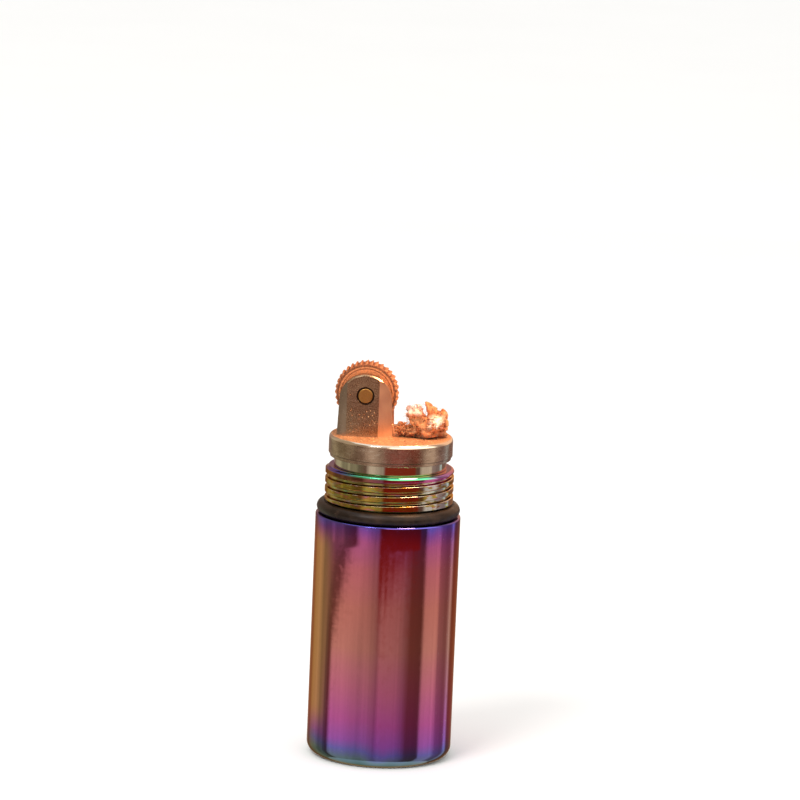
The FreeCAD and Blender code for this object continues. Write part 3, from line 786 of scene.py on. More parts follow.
RAINBOW = rainbow_coat()
NICKEL = nickel_plate()
STEEL = wheel_steel()
BRASS = brass()
SPRING = spring_steel()
FLINT = flint_alloy()
RUBBER = seal_rubber()
COTTON = scorched_cotton()
DUST = flint_dust()
WOOL = packing_fibre("cotton_wool", srgb(238, 235, 228), srgb(196, 190, 178), 0.12)
FELT = packing_fibre("pressed_felt", srgb(206, 202, 194), srgb(150, 146, 138), 0.08)

# ---------------------------------------------------------------- fuel cup and seal ring


def thread_cut(radius, height, angle):
    """Radius of the cup's outside where the neck's right-handed groove runs."""
    inside = height < SHOULDER + 1.3 or radius < THREAD_CREST - NECK_ROUND - 0.02
    if inside:
        return radius
    turns = (height - THREAD_START) / THREAD_PITCH - angle / TURN
    nearest = round(turns)
    if nearest + angle / TURN < -0.01:
        return radius
    distance = abs(turns - nearest) * THREAD_PITCH
    slope = (THREAD_MOUTH / 2 - distance) / (THREAD_MOUTH / 2 - THREAD_ROOT / 2)
    share = min(max(slope, 0.0), 1.0)
    eased = share * share * (3 - 2 * share)
    return min(radius, THREAD_CREST - THREAD_DEPTH * eased)


def make_cup():
    """The whole cup as one turning, up its outside, over the neck and down its bore."""
    groove_top = SHOULDER + 1.35
    outline = [(0, 0)]
    outline += between((0.5, 0), (CUP_RADIUS - BASE_FILLET, 0), 5)
    outline += rounded((CUP_RADIUS - BASE_FILLET, BASE_FILLET), BASE_FILLET, -90, 0, 12)
    outline += between((CUP_RADIUS, 2.0), (CUP_RADIUS, SHOULDER - SHOULDER_FILLET), 10)
    shoulder_corner = (CUP_RADIUS - SHOULDER_FILLET, SHOULDER - SHOULDER_FILLET)
    outline += rounded(shoulder_corner, SHOULDER_FILLET, 0, 90, 6)
    outline += [(6.8, SHOULDER), (SEAL_SEAT, SHOULDER), (SEAL_SEAT, groove_top - 0.3)]
    outline += between((SEAL_SEAT, groove_top), (THREAD_CREST, groove_top + 0.15), 4)
    neck_straight_top = NECK_TOP - NECK_ROUND
    outline += between((THREAD_CREST, groove_top + 0.15), (THREAD_CREST, neck_straight_top), 130)
    outline += rounded((THREAD_CREST - NECK_ROUND, neck_straight_top), NECK_ROUND, 0, 90, 8)
    outline += rounded((BORE_RADIUS + 0.08, NECK_TOP - 0.08), 0.08, 90, 180, 3)
    outline += between((BORE_RADIUS, NECK_TOP - 0.2), (BORE_RADIUS, FLOOR_THICKNESS + 0.5), 6)
    outline += rounded((BORE_RADIUS - 0.5, FLOOR_THICKNESS + 0.5), 0.5, 0, -90, 5)
    outline += [(2.5, FLOOR_THICKNESS), (0, FLOOR_THICKNESS)]
    mesh = lathe("cup_shell", outline, 288, shaped=thread_cut)
    mesh.set_sharp_from_angle(angle=math.radians(50))
    new_piece("cup_shell", mesh, RAINBOW, "cup", "iridescent_cup", "fuel_cup")


def make_seal_ring():
    centre = ((RING_HIGH.x - RING_SECTION), SHOULDER + RING_SECTION)
    outline = rounded(centre, RING_SECTION, 0, 360, 48)[:-1]

    def squeezed(radius, height, angle):
        """The mould's parting line, and the slight waviness of a ring that has been sat on."""
        line = 0.012 * math.exp(-(((height - centre[1]) / 0.05) ** 2)) if radius > centre[0] else 0
        wave = 0.01 * math.sin(5 * angle + 1) * math.sin(3 * angle)
        return radius + line - abs(wave)

    mesh = lathe("seal_ring", outline, 256, closed=True, shaped=squeezed)
    new_piece("seal_ring", mesh, RUBBER, "cup", "seal_rubber", "cap_seal_ring")


# ---------------------------------------------------------------- plug, bracket, axle


def softened(outline, cut):
    """An outline with each corner that turns sharply replaced by a small curve."""
    result = [outline[0]]
    for before, corner, after in zip(outline, outline[1:], outline[2:]):
        back, ahead = Vector(before) - Vector(corner), Vector(after) - Vector(corner)
        if back.angle(ahead) > math.radians(160):
            result.append(corner)
            continue
        reach = min(cut, back.length * 0.3, ahead.length * 0.3)
        start, finish = back.normalized() * reach, ahead.normalized() * reach
        result.append(tuple(Vector(corner) + start * 1.5))
        for share in (0.0, 0.25, 0.5, 0.75, 1.0):
            point = Vector(corner) + start * (1 - share) ** 2 + finish * share**2
            result.append(tuple(point))
        result.append(tuple(Vector(corner) + finish * 1.5))
    return result + [outline[-1]]


def post(name, x, outline, segments=96):
    """A turned cutter standing at x."""
    mesh = lathe(name, outline, segments)
    mesh.transform(Matrix.Translation((x * MM, 0, 0)))
    return mesh


def on_axle(mesh):
    """Lays a turned mesh down along the wheel's axle."""
    lying = Matrix.Rotation(math.radians(90), 4, "X")
    mesh.transform(Matrix.Translation((WHEEL_X * MM, 0, WHEEL_Z * MM)) @ lying)
    return mesh


def make_plug():
    hollow, skirt, collar = BORE_RADIUS - 0.78, BORE_RADIUS - 0.03, BORE_RADIUS + 0.2
    lip, lip_top = FLANGE_RADIUS - 0.15, FLANGE_BOTTOM + 0.35
    bottom, underside = PLUG_LOW.z, PLATE_TOP - 1.6
    outline = [
        (0, underside),
        (hollow, underside),
        (hollow, bottom),
        (skirt - 0.3, bottom),
        (skirt, bottom + 0.3),
        (skirt, NECK_TOP),
        (collar, NECK_TOP),
        (collar, FLANGE_BOTTOM),
        (lip, FLANGE_BOTTOM),
        (lip, lip_top),
        (FLANGE_RADIUS, lip_top),
    ]
    outline = softened(outline + [(FLANGE_RADIUS, PLATE_TOP - 0.5)], 0.05)
    outline += rounded((FLANGE_RADIUS - 0.4, PLATE_TOP - 0.4), 0.4, 0, 90, 10)
    outline += [(3.0, PLATE_TOP), (0, PLATE_TOP)]
    mesh = lathe("plug_body", outline, 224)
    low, high = underside - 1, PLATE_TOP + 1
    spigot_way = [(0, low), (SPIGOT_WAY_RADIUS, low), (SPIGOT_WAY_RADIUS, high), (0, high)]
    wick_way = [(0, low), (WICK_WAY_RADIUS, low), (WICK_WAY_RADIUS, PLATE_TOP - 0.2)]
    wick_way += [(WICK_WAY_RADIUS + 1.2, high), (0, high)]
    spigot_cutter = post("spigot_way", WHEEL_X, spigot_way)
    wick_cutter = post("wick_way", WICK_X, wick_way)
    mesh = even_shading(cut_away(mesh, spigot_cutter, wick_cutter), 38)
    new_piece("plug_body", mesh, NICKEL, "insert", "nickel_plate", "plug")


def make_bracket():
    """The bracket with a shallow recess round each end of the axle."""
    outer = BRACKET_HIGH.y
    cutters = []
    for face in (-1, 1):
        low, high = sorted((face * (outer + 0.5), face * (outer - RECESS_DEPTH)))
        outline = [(0, low), (RECESS_RADIUS, low), (RECESS_RADIUS, high), (0, high)]
        cutters.append(on_axle(lathe("recess", outline, 64)))
    mesh = worked_copy("wheel_bracket", "bracket_ears", 0.055, cutters=cutters)
    new_piece("bracket_ears", mesh, NICKEL, "insert", "nickel_plate", "wheel_bracket")


# ---------------------------------------------------------------- spark wheel


def tooth_row(low, high, inner, outer, slant):
    """One saw tooth between two widths.  Its steep face looks the way that the wheel is struck."""
    step = TURN / TEETH
    points = []
    for y, tip in ((low, outer - slant[0]), (high, outer - slant[1])):
        for angle, reach in ((0.0, inner), (0.0, tip), (-0.16 * step, tip), (-step, inner)):
            points.append((reach * math.sin(angle), y, reach * math.cos(angle)))
    faces = [(0, 1, 2, 3), (7, 6, 5, 4), (0, 4, 5, 1), (1, 5, 6, 2), (2, 6, 7, 3), (3, 7, 4, 0)]
    return points, faces


def make_wheel():
    """A turned core with three rows of teeth set round it."""
    half, root = WHEEL_HALF_WIDTH, WHEEL_RADIUS - TOOTH_DEPTH
    side_ring = root - 0.42
    outline = [
        (WHEEL_BORE, half - 0.02),
        (side_ring - 0.08, half - 0.02),
        (side_ring, half - 0.1),
        (side_ring + 0.08, half - 0.02),
        (root + 0.02, half - 0.1),
        (root + 0.02, 0.62),
        (root - 0.14, 0.42),
        (root + 0.02, 0.24),
    ]
    outline += [(radius, -height) for radius, height in reversed(outline)]
    core = lathe("wheel_core", softened(outline, 0.04), 144, closed=True)
    core.transform(Matrix.Rotation(math.radians(90), 4, "X"))

    points, faces = [], []
    rows = ((0.6, half, (0, 0.12)), (-0.25, 0.25, (0, 0)), (-half, -0.6, (0.12, 0)))
    for low, high, slant in rows:
        row_points, row_faces = tooth_row(low, high, root - 0.06, WHEEL_RADIUS, slant)
        faces += [tuple(index + len(points) for index in face) for face in row_faces]
        points += row_points
    tooth = mesh_of("tooth", points, faces, smooth=False)
    pattern = linked("tooth", tooth)

    ring = Grower("tooth_ring", STEEL, Tooth_Count=TEETH, Wear=0.012, Wear_Seed=7)
    inputs = {"Count": ring.given("Tooth_Count"), "Offset": (0, 0, 0)}
    line = ring.node("GeometryNodeMeshLine", None, inputs)
    index = ring.node("GeometryNodeInputIndex")
    seed = ring.given("Wear_Seed")
    angle = index * (TURN / TEETH) + ring.random_value(-0.012, 0.012, seed)
    wear = ring.random_value(1.0 - ring.given("Wear"), 1.0, seed + 1)
    shape = ring.node("GeometryNodeObjectInfo", None, {"Object": pattern}, output="Geometry")
    turned, scale = ring.combined(0.0, angle, 0.0), ring.combined(wear, 1.0, wear)
    both = ring.node("GeometryNodeJoinGeometry", None, [ring.set_on(line, shape, turned, scale)])
    ring.tree.links.new(ring.given("Geometry").socket, both.socket.node.inputs[0])
    mesh = ring.grown("toothed_wheel", core, both)
    bpy.data.objects.remove(pattern)
    mesh.transform(Matrix.Translation((WHEEL_X * MM, 0, WHEEL_Z * MM)))
    mesh.set_sharp_from_angle(angle=math.radians(35))
    new_piece("toothed_wheel", mesh, STEEL, "wheel", "wheel_steel", "spark_wheel")


# ---------------------------------------------------------------- flint train


def make_flint_train():
    for node, name, finish, slot, body, edge in (
        ("flint_tube", "flint_barrel", BRASS, "brass", "insert", 0.05),
        ("flint_follower", "follower_cup", BRASS, "brass", "flint_carriage", 0.06),
        ("flint_screw", "slotted_screw", BRASS, "brass", "screw", 0.02),
        ("flint", "flint_rod", FLINT, "flint_alloy", "flint_carriage", 0.03),
    ):
        new_piece(name, worked_copy(node, name, edge), finish, body, slot, node)


def make_axle():
    """The turned pin that the wheel runs on, its ends just inside their recesses."""
    end = AXLE_HIGH.y
    corners = [(0, -end), (AXLE_RADIUS, -end), (AXLE_RADIUS, end), (0, end)]
    mesh = even_shading(on_axle(lathe("axle_pin", softened(corners, 0.09), 64)), 50)
    new_piece("axle_pin", mesh, BRASS, "insert", "brass", "wheel_axle")


def make_spring():
    """Round wire wound up the tube's axis."""
    wire = (SPRING_HIGH.x - SPRING_LOW.x) / 2 - COIL_RADIUS
    low, high = SPRING_LOW.z + wire, SPRING_HIGH.z - wire
    radii = {"Wire_Radius": wire * MM, "Coil_Radius": COIL_RADIUS * MM}
    coil = Grower("coil", SPRING, **radii, Turns=COILS)
    inputs = {"Resolution": 28, "Rotations": coil.given("Turns"), "Height": (high - low) * MM}
    for end in ("Start Radius", "End Radius"):
        inputs[end] = coil.given("Coil_Radius")
    path = coil.node("GeometryNodeCurveSpiral", None, inputs)
    wound = coil.wire(path, coil.given("Wire_Radius"), 12)
    smooth = coil.node("GeometryNodeSetShadeSmooth", None, [wound])
    mesh = coil.grown("wound_spring", bpy.data.meshes.new("spring_host"), smooth)
    mesh.transform(Matrix.Translation((WHEEL_X * MM, 0, low * MM)))
    spring = new_piece(
        "wound_spring", mesh, SPRING, "screw_carriage", "spring_steel", "flint_spring"
    )
    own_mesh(spring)


# ---------------------------------------------------------------- wick


def joined(name, meshes):
    """Several meshes as one."""
    whole = bmesh.new()
    for mesh in meshes:
        whole.from_mesh(mesh)
    result = bpy.data.meshes.new(name)
    whole.to_mesh(result)
    whole.free()
    result.polygons.foreach_set("use_smooth", [True] * len(result.polygons))
    return result


def braid_stem(low, high):
    """The round braid below the tuft: strands that cross as they climb both ways round."""

    def woven(radius, height, angle):
        if radius < 0.9:
            return radius
        rise = height * 2.2
        left = math.cos(4 * angle + rise * math.pi)
        right = math.cos(4 * angle - rise * math.pi)
        return radius - 0.13 + 0.13 * max(left, right)

    radius = WICK_STEM_RADIUS - 0.01
    outline = [(0, low)] + between((radius, low), (radius, high), 190) + [(radius, high), (0, high)]
    mesh = lathe("braid", outline, 72, shaped=woven)
    mesh.transform(Matrix.Translation((WICK_X * MM, 0, 0)))
    return mesh


def lump(place, reach, seed, rough=0.32):
    """An uneven ball of matted fibre."""
    ball = bmesh.new()
    bmesh.ops.create_icosphere(ball, subdivisions=4, radius=1.0)
    for vertex in ball.verts:
        way = vertex.co.copy()
        swell = 1 + rough * noise.noise(way * 1.9 + Vector((seed, 0, 0)))
        swell += rough * 0.5 * noise.noise(way * 5.0 + Vector((0, seed, 0)))
        vertex.co = Vector([place[k] + way[k] * reach[k] * swell for k in range(3)]) * MM
    mesh = bpy.data.meshes.new("lump")
    ball.to_mesh(mesh)
    ball.free()
    return mesh


def strip(path, width, facing, chance, steps=14):
    """A flat, crumpled strip of cotton along a curve of four control points, frayed at its edges."""
    spots = interpolate_bezier(*[Vector(point) for point in path], steps + 1)
    shift = Vector((chance.uniform(0, 50), chance.uniform(0, 50), 0))
    points, faces = [], []
    for step, spot in enumerate(spots):
        ahead = spots[min(step + 1, steps)] - spots[max(step - 1, 0)]
        across = ahead.cross(Vector(facing)).normalized()
        up = across.cross(ahead).normalized()
        share = step / steps
        half = width / 2 * (1 - 0.55 * share**3) * (1 + 0.3 * chance.uniform(-1, 1))
        if step == steps:
            half *= 0.4
        ring = [(-1, 0), (-0.5, 1), (0, 1), (0.5, 1), (1, 0), (0.5, -1), (0, -1), (-0.5, -1)]
        for side, lift in ring:
            crease = noise.noise(Vector((side * 1.6, share * 5, 0)) + shift) * width * 0.42
            points.append(spot + across * half * side + up * (lift * 0.028 + crease))
        if step:
            last, here = 8 * (step - 1), 8 * step
            for corner in range(8):
                after = (corner + 1) % 8
                faces.append((last + corner, here + corner, here + after, last + after))
    faces.append(tuple(range(8)))
    faces.append(tuple(range(8 * steps + 7, 8 * steps - 1, -1)))
    return points, faces


def curling(start, way, length, chance):
    """Four control points of a strip that leaves start and curls over to one side."""
    start, way = Vector(start), Vector(way).normalized()
    random_way = Vector([chance.uniform(-1, 1) for _ in range(3)])
    aside = way.cross(random_way).normalized()
    bend = chance.uniform(0.3, 1.0)
    second = start + way * length * 0.35
    third = second + (way + aside * bend) * length * 0.3
    last = third + (way * (0.7 - bend) + aside * bend) * length * 0.4
    return [start, second, third, last], random_way


# The tuft's room above and below FOOT_TOP: its middle and its half sizes.  A strand is free up to
# FREE_SHARE of the way out, and SOFT_SHARE is all that it can gain beyond.
FOOT_TOP = PLATE_TOP + 1.7
CROWN_ROOM = Vector((WICK_HIGH.x - 2.72, -0.1, PLATE_TOP + 1.4)), Vector((2.72, 2.45, 2.3))
FOOT_ROOM = Vector((WICK_HIGH.x - 2.9, -0.3, PLATE_TOP + 0.5)), Vector((2.95, 2.4, 1.6))
FREE_SHARE = 0.8
SOFT_SHARE = 0.24
CROWN_STRIPS = 64
FOOT_STRIPS = 60


def within_wick(point):
    """Draws a loose end gently back inside the room that the tuft has."""
    middle, room = CROWN_ROOM if point[2] > FOOT_TOP else FOOT_ROOM
    away = Vector([(point[k] - middle[k]) / room[k] for k in range(3)])
    reach = sum(part**4 for part in away) ** 0.25
    if reach > FREE_SHARE:
        past = 1 - math.exp(-(reach - FREE_SHARE) / SOFT_SHARE)
        away *= (FREE_SHARE + SOFT_SHARE * past) / reach
    kept = Vector([middle[k] + away[k] * room[k] for k in range(3)])
    kept.z = max(kept.z, PLATE_TOP + 0.03)
    return kept


# The large strips of the tuft: four control points each, the width, and the way that the strip
# faces.
FLAPS = [
    ([(3.6, -1.1, 34.7), (3.0, -1.5, 35.6), (2.3, -1.3, 36.5), (1.5, -1.1, 36.9)], 1.35, (0.1, -1, 0.2)),
    ([(3.2, -0.6, 35.0), (2.9, -0.8, 35.9), (3.0, -0.6, 36.8), (2.5, -0.3, 37.0)], 0.7, (-0.3, -1, 0.1)),
    ([(2.9, -1.3, 34.6), (2.3, -1.5, 35.4), (1.9, -1.3, 35.9), (1.5, -1.0, 36.2)], 0.75, (0.4, -1, 0.5)),
    ([(4.2, -0.6, 34.9), (4.2, -0.9, 36.0), (3.8, -0.8, 37.1), (3.5, -0.6, 38.0)], 0.8, (0.3, -1, 0.1)),
    ([(4.5, -0.8, 35.0), (4.6, -0.9, 35.9), (4.4, -0.5, 36.5), (4.1, -0.3, 36.9)], 0.8, (-0.2, -1, 0.2)),
    ([(4.9, -0.7, 34.9), (5.3, -0.9, 35.7), (5.5, -0.6, 36.3), (5.2, -0.3, 36.7)], 0.9, (0.4, -1, 0.3)),
    ([(5.2, 0.1, 34.6), (5.8, 0.0, 35.4), (5.9, 0.1, 36.0), (5.5, 0.2, 36.4)], 0.9, (1, -0.6, 0.2)),
    ([(3.9, -1.6, 34.4), (4.4, -1.9, 35.1), (4.8, -1.6, 35.7), (5.1, -1.2, 36.0)], 0.9, (0, -1, 0.4)),
    ([(3.1, 0.8, 34.7), (2.6, 1.3, 35.5), (2.5, 1.2, 36.2), (2.9, 0.9, 36.6)], 0.9, (-0.4, 1, 0.3)),
    ([(4.4, 0.9, 34.8), (4.6, 1.5, 35.6), (4.4, 1.3, 36.3), (3.9, 1.0, 36.6)], 0.9, (0.2, 1, 0.3)),
    ([(1.5, -0.9, 34.3), (1.2, -1.1, 35.4), (0.6, -1.0, 35.4), (0.7, -0.9, 34.7)], 0.3, (0, -1, 0.1)),
]


def make_wick():
    chance = random.Random(23)
    floor = PLATE_TOP
    lumps = [
        lump((3.75, -0.1, floor + 0.75), (1.85, 1.85, 0.85), 3.0, 0.4),
        lump((4.75, -0.1, floor + 1.5), (0.95, 1.15, 0.95), 8.0, 0.4),
        lump((1.3, -0.5, floor + 0.4), (0.6, 0.7, 0.45), 21.0, 0.5),
        lump((2.3, -0.7, floor + 0.4), (0.75, 0.8, 0.45), 33.0, 0.5),
        braid_stem(WICK_LOW.z, floor + 0.8),
    ]
    core = joined("wick_core", lumps)

    plan = list(FLAPS)
    for _ in range(CROWN_STRIPS):
        bearing, lean = chance.uniform(0, TURN), chance.uniform(0.3, 1.45)
        out = Vector((math.cos(bearing), math.sin(bearing), 0)) * math.sin(lean)
        out.z = math.cos(lean)
        start = Vector((3.9 + out.x * 1.35, -0.1 + out.y * 1.4, floor + 0.6 + out.z * 0.8))
        path, facing = curling(start, out + Vector((0, 0, 0.5)), chance.uniform(0.6, 1.5), chance)
        plan.append((path, chance.uniform(0.2, 0.6), facing))
    for _ in range(FOOT_STRIPS):
        bearing, middle = chance.uniform(0, TURN), chance.choice((1.15, 1.45, 2.3))
        out = Vector((math.cos(bearing), math.sin(bearing), chance.uniform(0.2, 1.7)))
        start = Vector((middle + out.x * 0.4, -0.6 + out.y * 0.5, floor + 0.35 + out.z * 0.22))
        path, facing = curling(start, out, chance.uniform(0.5, 1.1), chance)
        plan.append((path, chance.uniform(0.1, 0.3), facing))
    points, faces = [], []
    for path, width, facing in plan:
        made, sides = strip(path, width, facing, chance)
        faces += [tuple(index + len(points) for index in side) for side in sides]
        points += [tuple(within_wick(point)) for point in made]
    strips = mesh_of("strips", points, faces)
    mesh = joined("wick_tuft", [core, strips])
    new_piece("wick_tuft", mesh, COTTON, "wick_braid", "wick_cotton", "wick")

    host = joined("fibre_host", lumps[:4] + [strips])
    fibres = Grower(
        "loose_fibres",
        COTTON,
        Fibre_Density=1.15e7,
        Fibre_Seed=5,
        Length=0.5 * MM,
        Thickness=0.016 * MM,
    )
    seed = fibres.given("Fibre_Seed")
    spots = fibres.strewn(fibres.given("Fibre_Density"), seed)
    normal = Flow(fibres, spots.socket.node.outputs["Normal"])
    stray = fibres.random_value((-1.1, -1.1, -0.6), (1.1, 1.1, 1.1), seed)
    aim = {"Vector": fibres.vector_math("ADD", normal, stray)}
    rotation = fibres.node("FunctionNodeAlignRotationToVector", {"axis": "Z"}, aim)
    size = fibres.random_value(0.3, 1.0, seed + 3)
    ends = {"Start": (0, 0, 0), "End": fibres.combined(0.0, 0.0, fibres.given("Length"))}
    strand = fibres.node("GeometryNodeCurvePrimitiveLine", None, ends)
    strand = fibres.node("GeometryNodeResampleCurve", None, {"Curve": strand, "Count": 7})
    placed = fibres.set_on(spots, strand, rotation, size)
    real = fibres.node("GeometryNodeRealizeInstances", None, [placed])
    along = fibres.node("GeometryNodeSplineParameter", output="Factor")
    here = fibres.node("GeometryNodeInputPosition")
    inputs = {"Vector": here, "Scale": 1100.0, "Detail": 1.0}
    sway = fibres.node("ShaderNodeTexNoise", None, inputs, output=1)
    inputs = {0: fibres.vector_math("SUBTRACT", sway, (0.5, 0.5, 0.5)), "Scale": along * 1.6 * MM}
    bend = fibres.node("ShaderNodeVectorMath", {"operation": "SCALE"}, inputs)
    swayed = fibres.node("GeometryNodeSetPosition", None, {"Geometry": real, "Offset": bend})
    drawn = fibres.wire(swayed, fibres.given("Thickness"), 3)
    mesh = fibres.grown("wick_fibres", host, drawn)
    for vertex in mesh.vertices:
        vertex.co = within_wick(vertex.co / MM) * MM
    new_piece("wick_fibres", mesh, COTTON, "wick_braid", "wick_cotton")


# ---------------------------------------------------------------- flint dust


def dusted_places():
    """Where grains settle: the plate round the bracket, and the bracket's two outer faces."""
    points, faces = [], []

    def patch(corners):
        faces.append(tuple(range(len(points), len(points) + len(corners))))
        points.extend(corners)

    step, lift = 0.5, 0.004
    level, middle = PLATE_TOP + lift, step / 2
    reach = FLANGE_RADIUS - 0.45
    count = int(2 * reach / step) + 1
    for column in range(count):
        for row in range(count):
            x, y = -reach + column * step, -reach + row * step
            far = max(math.hypot(x + a, y + b) for a in (0, step) for b in (0, step))
            on_bracket = BRACKET_LOW.x - step < x < BRACKET_HIGH.x and abs(y + middle) < 2.6
            in_hole = math.hypot(x + middle - WICK_X, y + middle) < 2.0
            if far < reach and not on_bracket and not in_hole:
                corners = ((0, 0), (step, 0), (step, step), (0, step))
                patch([(x + a, y + b, level) for a, b in corners])
    for face in (-1, 1):
        y = face * (BRACKET_HIGH.y + lift)
        for column in range(6):
            x = WHEEL_X - 1.6 + column * step
            for row in range(10):
                z = PLATE_TOP + 0.15 + row * step
                over_axle = math.hypot(x + middle - WHEEL_X, z + middle - WHEEL_Z) < 1.3
                if over_axle or row > 5 and (row + column) % 2:
                    continue
                corners = [(x, y, z), (x + step, y, z), (x + step, y, z + step), (x, y, z + step)]
                patch(corners if face < 0 else corners[::-1])
    mesh = bpy.data.meshes.new("dusted_places")
    mesh.from_pydata([Vector(point) * MM for point in points], [], faces)
    return mesh


def make_dust():
    grains = Grower("grains", DUST, Density=1.1e7, Grain_Seed=4)
    seed = grains.given("Grain_Seed")
    spots = grains.strewn(grains.given("Density"), seed)
    ball = {"Radius": 0.075 * MM, "Subdivisions": 1}
    grain = grains.node("GeometryNodeMeshIcoSphere", None, ball)
    size = grains.random_value(0.0, 1.0, seed) ** 3 * 0.85 + 0.2
    squat = grains.combined(size, size * 0.8, size * 0.7)
    turn = grains.random_value((0, 0, 0), (TURN, TURN, TURN), seed + 2)
    strewn = grains.set_on(spots, grain, turn, squat)
    mesh = grains.grown("flint_grains", dusted_places(), strewn)
    new_piece("flint_grains", mesh, DUST, "insert", "flint_alloy")


# ---------------------------------------------------------------- packing


def make_packing():
    """Felt and cotton wads, each matted and uneven inside the room that its solid has."""
    for node, name, finish, slot, fill, rough in (
        ("felt_pad", "felt_disc", FELT, "felt", 1.0, 0.05),
        ("cotton_wad_lower", "wad_lower", WOOL, "cotton_wool", 0.8, 0.22),
        ("cotton_wad_middle", "wad_middle", WOOL, "cotton_wool", 0.8, 0.22),
        ("cotton_wad_upper", "wad_upper", WOOL, "cotton_wool", 0.8, 0.22),
    ):
        matted = modified(
            name,
            nodes[node].data.copy(),
            ("WELD", {"merge_threshold": 1e-7}),
            ("REMESH", {"mode": "VOXEL", "voxel_size": 0.2 * MM}),
            ("SMOOTH", {"iterations": 2}),
        )
        matted.update()
        normals = [vertex.normal.copy() for vertex in matted.vertices]
        for vertex, normal in zip(matted.vertices, normals):
            spot = vertex.co / MM
            sink = 0.5 + 0.5 * noise.noise(spot * 1.4) + 0.35 * noise.noise(spot * 4.5)
            vertex.co -= normal * max(sink, 0.0) * rough * MM
        matted.polygons.foreach_set("use_smooth", [True] * len(matted.polygons))
        piece = new_piece(name, matted, finish, "cup", slot, node)


make_cup()
make_seal_ring()
make_plug()
make_bracket()
make_wheel()
make_axle()
make_flint_train()
make_spring()
make_wick()
make_dust()
make_packing()

# ---------------------------------------------------------------- studio

CAMERA_AZIMUTH = 3.0
CAMERA_ELEVATION = 10.13
CAMERA_ROLL = 2.4
CAMERA_DISTANCE = 500.0
FRAME_MM = 82.82
CENTRE_RIGHT = 1.455
CENTRE_UP = 17.02


def make_camera():
    angles = (CAMERA_AZIMUTH, CAMERA_ELEVATION, CAMERA_ROLL)
    azimuth, elevation, roll = map(math.radians, angles)
    back = Vector((math.sin(azimuth), -math.cos(azimuth), 0)) * math.cos(elevation)
    back.z = math.sin(elevation)
    level = Vector((math.cos(azimuth), math.sin(azimuth), 0))
    upright = back.cross(level)
    up = upright * math.cos(roll) - level * math.sin(roll)
    right = level * math.cos(roll) + upright * math.sin(roll)
    middle = Vector((0, 0, 20)) + right * CENTRE_RIGHT + up * CENTRE_UP
    data = bpy.data.cameras.new("camera")
    data.sensor_width = 36.0
    data.lens = 36.0 * CAMERA_DISTANCE / FRAME_MM
    data.clip_start, data.clip_end = 0.01, 20.0
    camera = linked("camera", data)
    turned = Matrix((right, up, back)).transposed().to_4x4()
    turned.translation = (middle + back * CAMERA_DISTANCE) * MM
    camera.matrix_world = turned
    bpy.context.scene.camera = camera


def stage_object(name, mesh, finish):
    thing = linked(name, mesh)
    mesh.materials.append(finish)
    return thing


def make_floor():
    finish = Finish("floor_paper")
    tone = finish.mixed(finish.noise(40.0, 2.0), srgb(248, 248, 247), srgb(251, 251, 250))
    paper = finish.principled(Base_Color=tone, Roughness=0.9)
    mesh = lathe("floor", [(0, 0), (60, 0), (300, 0), (6000, 0)], 96)
    floor = stage_object("floor", mesh, paper)
    floor.visible_glossy = False


TENT_RADIUS = 400
TENT_HEIGHTS = (-420, -40, 520)

# How bright the mirrored surroundings are at each bearing, counted from the -Y side towards +X, and
# their tint.
WARM = (1.0, 0.92, 0.84)
GOLD = (1.0, 1.0, 0.72)
PALE = (0.8, 1.1, 1.25)
ROSE = (1.0, 0.8, 0.86)
DIM = (1.0, 0.6, 0.5)
STRIPS = [
    (-180, 0.6, WARM),
    (-150, 0.3, DIM),
    (-136, 0.52, GOLD),
    (-120, 0.6, GOLD),
    (-110, 0.3, GOLD),
    (-98, 0.36, GOLD),
    (-92, 0.2, GOLD),
    (-74, 0.17, DIM),
    (-66, 0.8, WARM),
    (-44, 0.78, WARM),
    (-24, 0.62, WARM),
    (-12, 0.46, WARM),
    (-5, 0.36, ROSE),
    (0, 0.56, ROSE),
    (26, 0.5, ROSE),
    (36, 0.36, ROSE),
    (46, 0.2, DIM),
    (66, 0.16, DIM),
    (71, 0.72, WARM),
    (96, 0.82, WARM),
    (101, 0.42, ROSE),
    (116, 0.3, ROSE),
    (124, 0.3, ROSE),
    (132, 0.9, PALE),
    (139, 0.25, DIM),
    (160, 0.3, DIM),
    (180, 0.6, WARM),
]


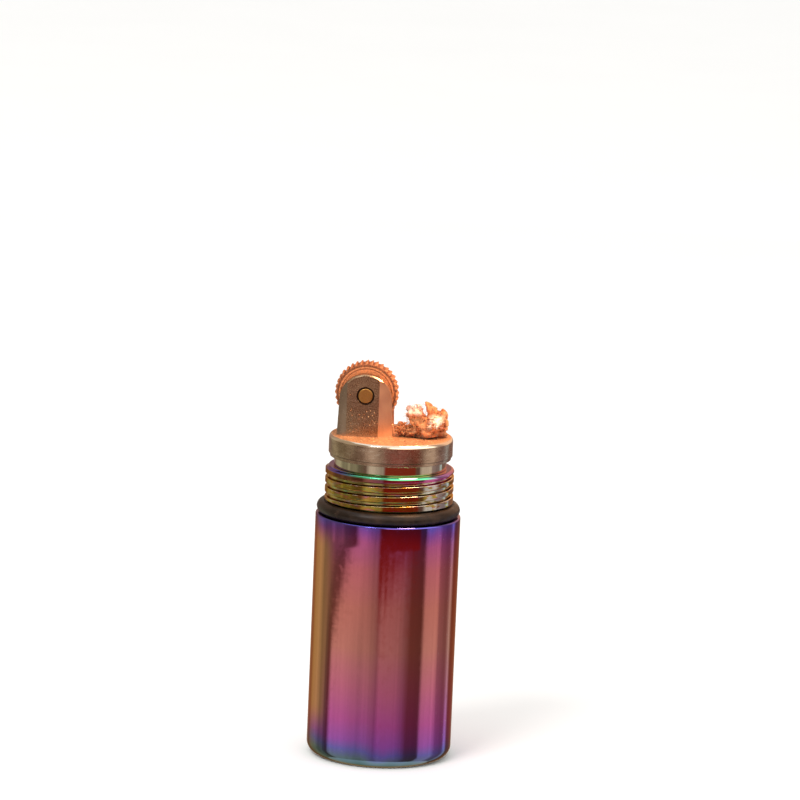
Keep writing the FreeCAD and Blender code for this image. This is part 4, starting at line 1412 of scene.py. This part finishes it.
def make_surroundings():
    """A wall of light and dark strips that only mirrors see, so polished metal has something to show."""
    finish = Finish("tent_strips")
    x, y, height = finish.axis("X"), finish.axis("Y"), finish.axis("Z")
    degrees = ((y.math("ARCTAN2", x) / TURN + 0.75).math("FRACT") - 0.5) * 360
    descent = (height * -1 - 52).math("MULTIPLY", 1 / 26)
    sweep = degrees.band(-62, 26, 16)
    wander = finish.noise(30.0, 2.0, vector=finish.stretched(1, 1, 1.5)) - 0.5
    bent = degrees + sweep * (descent.clamped() - 0.62) * 44 + wander * 7
    stops = [
        ((bearing + 180) / 360, (*[part * light for part in tint], 1))
        for bearing, light, tint in STRIPS
    ]
    colour = finish.ramp(bent / 360 + 0.5, stops)
    lines = finish.noise(2.2, 3.0, vector=finish.stretched(1, 1, 0.03))
    colour = finish.mixed(lines.step(0.42, 0.62) * 0.3, colour, (0.08, 0.03, 0.03, 1))
    edge = wander * 0.5 + 0.62 - degrees / 140
    patch = degrees.band(25, 30, 5) * (descent - edge).step(0.05, -0.05)
    colour = finish.mixed(patch, colour, (0.26, 0.035, 0.018, 1))
    behind = degrees.step(100, 135) * height.step(0, 60)
    colour = finish.mixed(behind, colour, (1.0, 0.62, 0.4, 1))
    above = height.step(0, 50) * (1 - behind)
    flare = degrees.band(48, 42, 12)
    colour = finish.mixed(above * (1 - flare) * 0.6, colour, (0.4, 0.27, 0.19, 1))
    colour = finish.mixed(height.step(60, 140) * flare, colour, (1.9, 1.7, 1.4, 1))
    glow = finish.node("ShaderNodeEmission", None, {"Color": colour, "Strength": 1.0})
    mesh = lathe("surroundings", [(TENT_RADIUS, level) for level in TENT_HEIGHTS], 96)
    tent = stage_object("surroundings", mesh, finish.done(glow))
    for ray in ("camera", "diffuse", "shadow", "transmission"):
        setattr(tent, "visible_" + ray, False)


def disk_light(name, place, aim, size, power, colour):
    data = bpy.data.lights.new(name, "AREA")
    data.shape = "DISK"
    data.size = size * MM
    data.energy = power
    data.color = colour
    light = linked(name, data)
    light.location = Vector(place) * MM
    aimed = (Vector(aim) - Vector(place)).to_track_quat("-Z", "Y")
    light.rotation_euler = aimed.to_euler()
    return light


def make_world():
    world = bpy.data.worlds.new("studio")
    world.use_nodes = True
    bpy.context.scene.world = world
    background = world.node_tree.nodes["Background"]
    background.inputs["Color"].default_value = (1.0, 0.995, 0.985, 1)
    background.inputs["Strength"].default_value = 1.0


make_camera()
make_floor()
make_surroundings()
make_world()
disk_light("key", (-260, -420, 480), (0, 0, 20), 300, 2.2, (1.0, 0.98, 0.95))
glow = disk_light("glow", (12, -6, 60), (0.5, -1, 35), 12, 0.0036, (1.0, 0.6, 0.33))
glow.data.spread = math.radians(95)
warmed = bpy.data.collections.new("warmed")
for piece in list(bpy.context.scene.objects):
    if piece.type == "MESH" and piece.name not in ("floor", "surroundings"):
        warmed.objects.link(piece)
glow.light_linking.receiver_collection = warmed
bpy.context.scene.view_settings.view_transform = "Standard"
